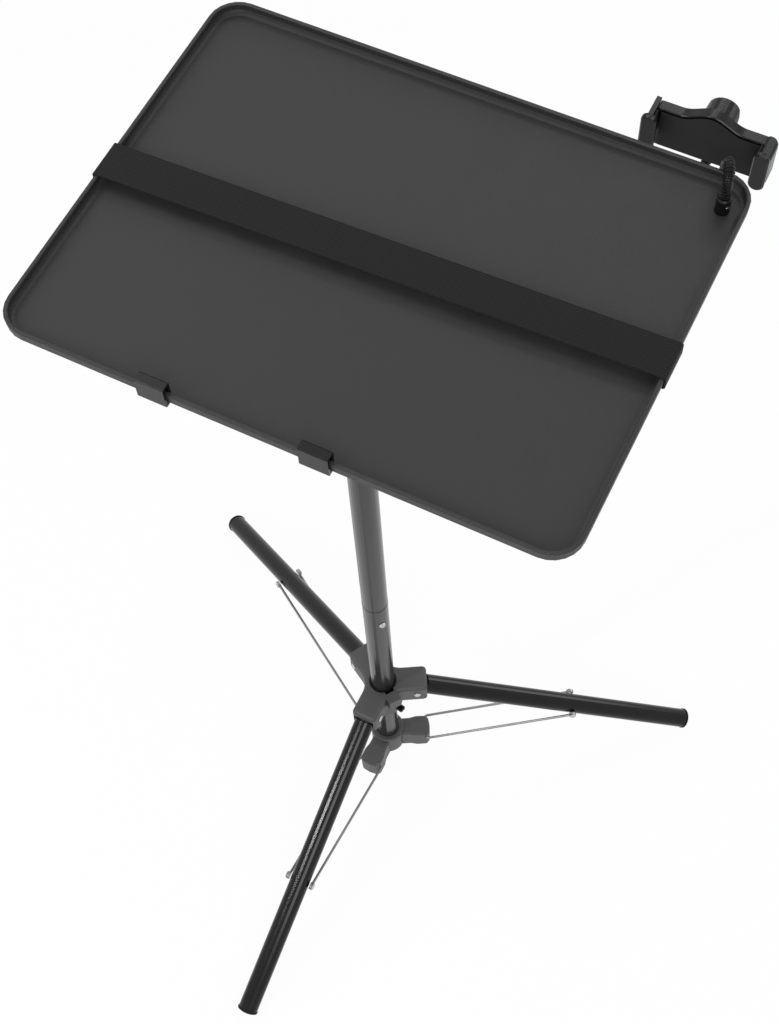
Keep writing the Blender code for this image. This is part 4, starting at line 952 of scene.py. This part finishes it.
@dataclass
class Stitches:
    """Two rows of thread that close each flap of the strap under the tray.

    Attributes:
        thread: radius of the thread.
        sides: of the thread's round.
        rounding: bevel of a stitch's ends, as a share of the thread's radius.
        length: of a stitch.
        pitch: from stitch to stitch.
        rows: distance between the two rows.
        inset: from the flap's end to the first row.
        count: stitches in a row.
    """

    thread: float = 0.00032
    sides: int = 8
    rounding: float = 0.6
    length: float = 0.0019
    pitch: float = 0.0026
    rows: float = 0.0022
    inset: float = 0.0028
    count: int = 9

    def build(self, book: FinishBook) -> list[bpy.types.Object]:
        """Sew both flaps.

        Args:
            book: the finishes.

        Returns:
            The rows of stitches, one piece for each flap.
        """
        strap = Strap()
        low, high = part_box("tray_pan")
        under = strap.path()[0][1] - strap.thickness / 2
        made = []
        for name, x, y in (("stitches_left", low[0] + strap.flap - self.inset, strap.left_y),
                           ("stitches_right", high[0] - strap.flap + self.inset, strap.right_y)):
            row = self.row(name)
            Bench.repeat(row, 2, (math.copysign(self.rows, x), 0.0, 0.0))
            row.location = (x, y - self.pitch * (self.count - 1) / 2, under)
            Bench.settle(row, angle=60.0)
            book.paint(row, "black_plastic")
            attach(row, "tray")
            made.append(row)
        return made

    def row(self, name: str) -> bpy.types.Object:
        """Make one row of stitches along Y, from a rounded bar of thread.

        Args:
            name: of the piece.

        Returns:
            The row.
        """
        Bench.clear()
        bpy.ops.mesh.primitive_cylinder_add(vertices=self.sides, radius=self.thread, depth=self.length,
                                            rotation=(math.pi / 2, 0.0, 0.0))
        made = Bench.named(name)
        bpy.ops.object.transform_apply(location=True, rotation=True, scale=True)
        Bench.ease(made, width=self.thread * self.rounding, segments=2, angle=60.0)
        Bench.repeat(made, self.count, (0.0, self.pitch, 0.0))
        return made


@dataclass
class PoleSeamShade:
    """A dark ring of painted shade where the upper pole tube meets the lower one; it stands for the shade in
    the seam between the tubes.

    Attributes:
        height: of the line.
        proud: how far the dark ring stands out of the tube.
        wall: of the dark ring.
        sides: of its round.
    """

    height: float = 0.0008
    proud: float = 0.00012
    wall: float = 0.0006
    sides: int = 96

    def build(self, book: FinishBook) -> bpy.types.Object:
        """Lay the thin dark ring of painted shade into the seam.

        Args:
            book: the finishes.

        Returns:
            The dark ring of painted shade.
        """
        low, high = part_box("pole_lower")
        Bench.clear()
        bpy.ops.mesh.primitive_cylinder_add(vertices=self.sides, radius=(high[0] - low[0]) / 2 + self.proud,
                                            depth=self.height, end_fill_type="NOTHING",
                                            location=(0.0, 0.0, high[2]))
        made = Bench.named("pole_seam_shade")
        Bench.modify(made, "SOLIDIFY", thickness=self.wall, offset=-1.0)
        Bench.ease(made, width=self.proud, segments=1, angle=50.0)
        Bench.settle(made, angle=30.0)
        # Painted shade: the dark rubber finish on this ring stands for the shade in the seam between the
        # tubes.
        book.paint(made, "rubber")
        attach(made, "base")
        return made


@dataclass(frozen=True)
class Lamp:
    """One soft rectangular lamp.

    Attributes:
        name: of the lamp.
        place: its middle.
        size: its sides.
        power: in watts.
    """

    name: str
    place: Point
    size: tuple[float, float]
    power: float


@dataclass
class Studio:
    """Camera, floor, lamps and surroundings.

    Attributes:
        eye: the camera's place.
        azimuth: direction of view from +Y towards -X, in degrees.
        elevation: how far the view looks down, in degrees.
        roll: turn about the view, in degrees.
        lens: focal length, in millimetres.
        sensor: height of the sensor, in millimetres.
        reach: distance up to which the camera sees.
        floor_size: of the floor.
        floor_white: linear colour of the floor.
        floor_roughness: of the floor.
        glow: share of plain white in the floor as the camera sees it.
        ambient: strength of the surroundings on diffuse surfaces.
        aim: point that every lamp looks at.
        lamps: the lamps.
    """

    eye: Point = (0.3205, -0.5129, 1.6581)
    azimuth: float = 30.258
    elevation: float = 62.183
    roll: float = -4.291
    lens: float = 58.84
    sensor: float = 36.0
    reach: float = 60.0
    floor_size: float = 14.0
    floor_white: float = 0.90
    floor_roughness: float = 0.9
    glow: float = 0.95
    ambient: float = 0.42
    aim: Point = (0.0, 0.0, 0.45)
    lamps: tuple[Lamp, ...] = (
        Lamp("left", (-1.5, 0.6, 2.6), (1.0, 1.4), 9.0),
        Lamp("right", (1.1, -1.6, 1.9), (1.2, 1.2), 24.0),
        Lamp("back", (-0.2, 1.9, 2.4), (1.2, 0.4), 7.0),
        Lamp("rear", (1.3, 2.05, 1.15), (1.2, 0.8), 9.0),
        Lamp("strip", (-0.82, -1.29, 2.02), (0.03, 1.6), 15.0),
    )

    def build(self) -> None:
        """Set the camera, the floor, the lamps and the world."""
        self.set_camera()
        self.lay_floor()
        for lamp in self.lamps:
            self.hang(lamp)
        self.set_world()
        bpy.context.scene.view_settings.view_transform = "Standard"

    def set_camera(self) -> None:
        """Place the camera as the photograph was taken."""
        data = bpy.data.cameras.new("camera")
        data.lens = self.lens
        data.sensor_fit = "VERTICAL"
        data.sensor_height = self.sensor
        data.clip_end = self.reach
        camera = bpy.data.objects.new("camera", data)
        bpy.context.collection.objects.link(camera)
        turn = Matrix.Rotation(math.radians(self.azimuth), 4, "Z")
        tip = Matrix.Rotation(math.radians(90.0 - self.elevation), 4, "X")
        roll = Matrix.Rotation(math.radians(self.roll), 4, "Z")
        camera.matrix_world = Matrix.Translation(self.eye) @ turn @ tip @ roll
        bpy.context.scene.camera = camera

    def lay_floor(self) -> None:
        """Make the pale floor, whose white shows to the camera and in reflections."""
        Bench.clear()
        bpy.ops.mesh.primitive_plane_add(size=self.floor_size)
        floor = Bench.named("floor")
        material = bpy.data.materials.new("pale_floor")
        material.use_nodes = True
        tree = material.node_tree
        shader = tree.nodes["Principled BSDF"]
        shader.inputs["Base Color"].default_value = (*[self.floor_white] * 3, 1.0)
        shader.inputs["Roughness"].default_value = self.floor_roughness
        glow = tree.nodes.new("ShaderNodeEmission")
        glow.inputs["Color"].default_value = WHITE
        mix = tree.nodes.new("ShaderNodeMixShader")
        share = calculate(tree, "MULTIPLY", self.seen(tree), self.glow)
        tree.links.new(share, mix.inputs["Fac"])
        tree.links.new(shader.outputs[0], mix.inputs[1])
        tree.links.new(glow.outputs[0], mix.inputs[2])
        tree.links.new(mix.outputs[0], tree.nodes["Material Output"].inputs["Surface"])
        floor.data.materials.append(material)

    @staticmethod
    def seen(tree: Tree) -> Socket:
        """Give a socket that is 1 for camera, glossy and transmission rays.

        Args:
            tree: the material's or world's tree.

        Returns:
            The socket.
        """
        path = tree.nodes.new("ShaderNodeLightPath")
        first = calculate(tree, "MAXIMUM", path.outputs["Is Camera Ray"], path.outputs["Is Glossy Ray"])
        return calculate(tree, "MAXIMUM", first, path.outputs["Is Transmission Ray"])

    def hang(self, lamp: Lamp) -> None:
        """Hang one lamp.

        Args:
            lamp: the lamp.
        """
        data = bpy.data.lights.new(lamp.name, "AREA")
        data.shape = "RECTANGLE"
        data.size, data.size_y = lamp.size
        data.energy = lamp.power
        made = bpy.data.objects.new(lamp.name, data)
        bpy.context.collection.objects.link(made)
        place = Vector(lamp.place)
        turn = (Vector(self.aim) - place).to_track_quat("-Z", "Y").to_matrix().to_4x4()
        made.matrix_world = Matrix.Translation(place) @ turn

    def set_world(self) -> None:
        """Give the surroundings: white when seen, dimmer as light on the object."""
        world = bpy.data.worlds.new("studio")
        bpy.context.scene.world = world
        world.use_nodes = True
        tree = world.node_tree
        back = tree.nodes["Background"]
        back.inputs["Color"].default_value = WHITE
        strength = tree.nodes.new("ShaderNodeMapRange")
        strength.inputs["To Min"].default_value = self.ambient
        strength.inputs["To Max"].default_value = 1.0
        tree.links.new(self.seen(tree), strength.inputs["Value"])
        tree.links.new(strength.outputs[0], back.inputs["Strength"])


def main() -> None:
    """Dress the frame, add the pieces and set the studio."""
    logging.basicConfig(level=logging.INFO, format="%(name)s: %(message)s")
    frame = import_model()
    Studio().build()
    book = FinishBook()
    book.dress(frame)
    pieces = [Neck().build(book), Strap().build(book)]
    pieces += GripPads().build(book)
    pieces += Stitches().build(book)
    pieces.append(PoleSeamShade().build(book))
    pieces += GrubScrews().build(book)
    for piece in pieces:
        LOG.info("%s: %d faces", piece.name, len(piece.data.polygons))


if __name__ == "__main__":
    main()
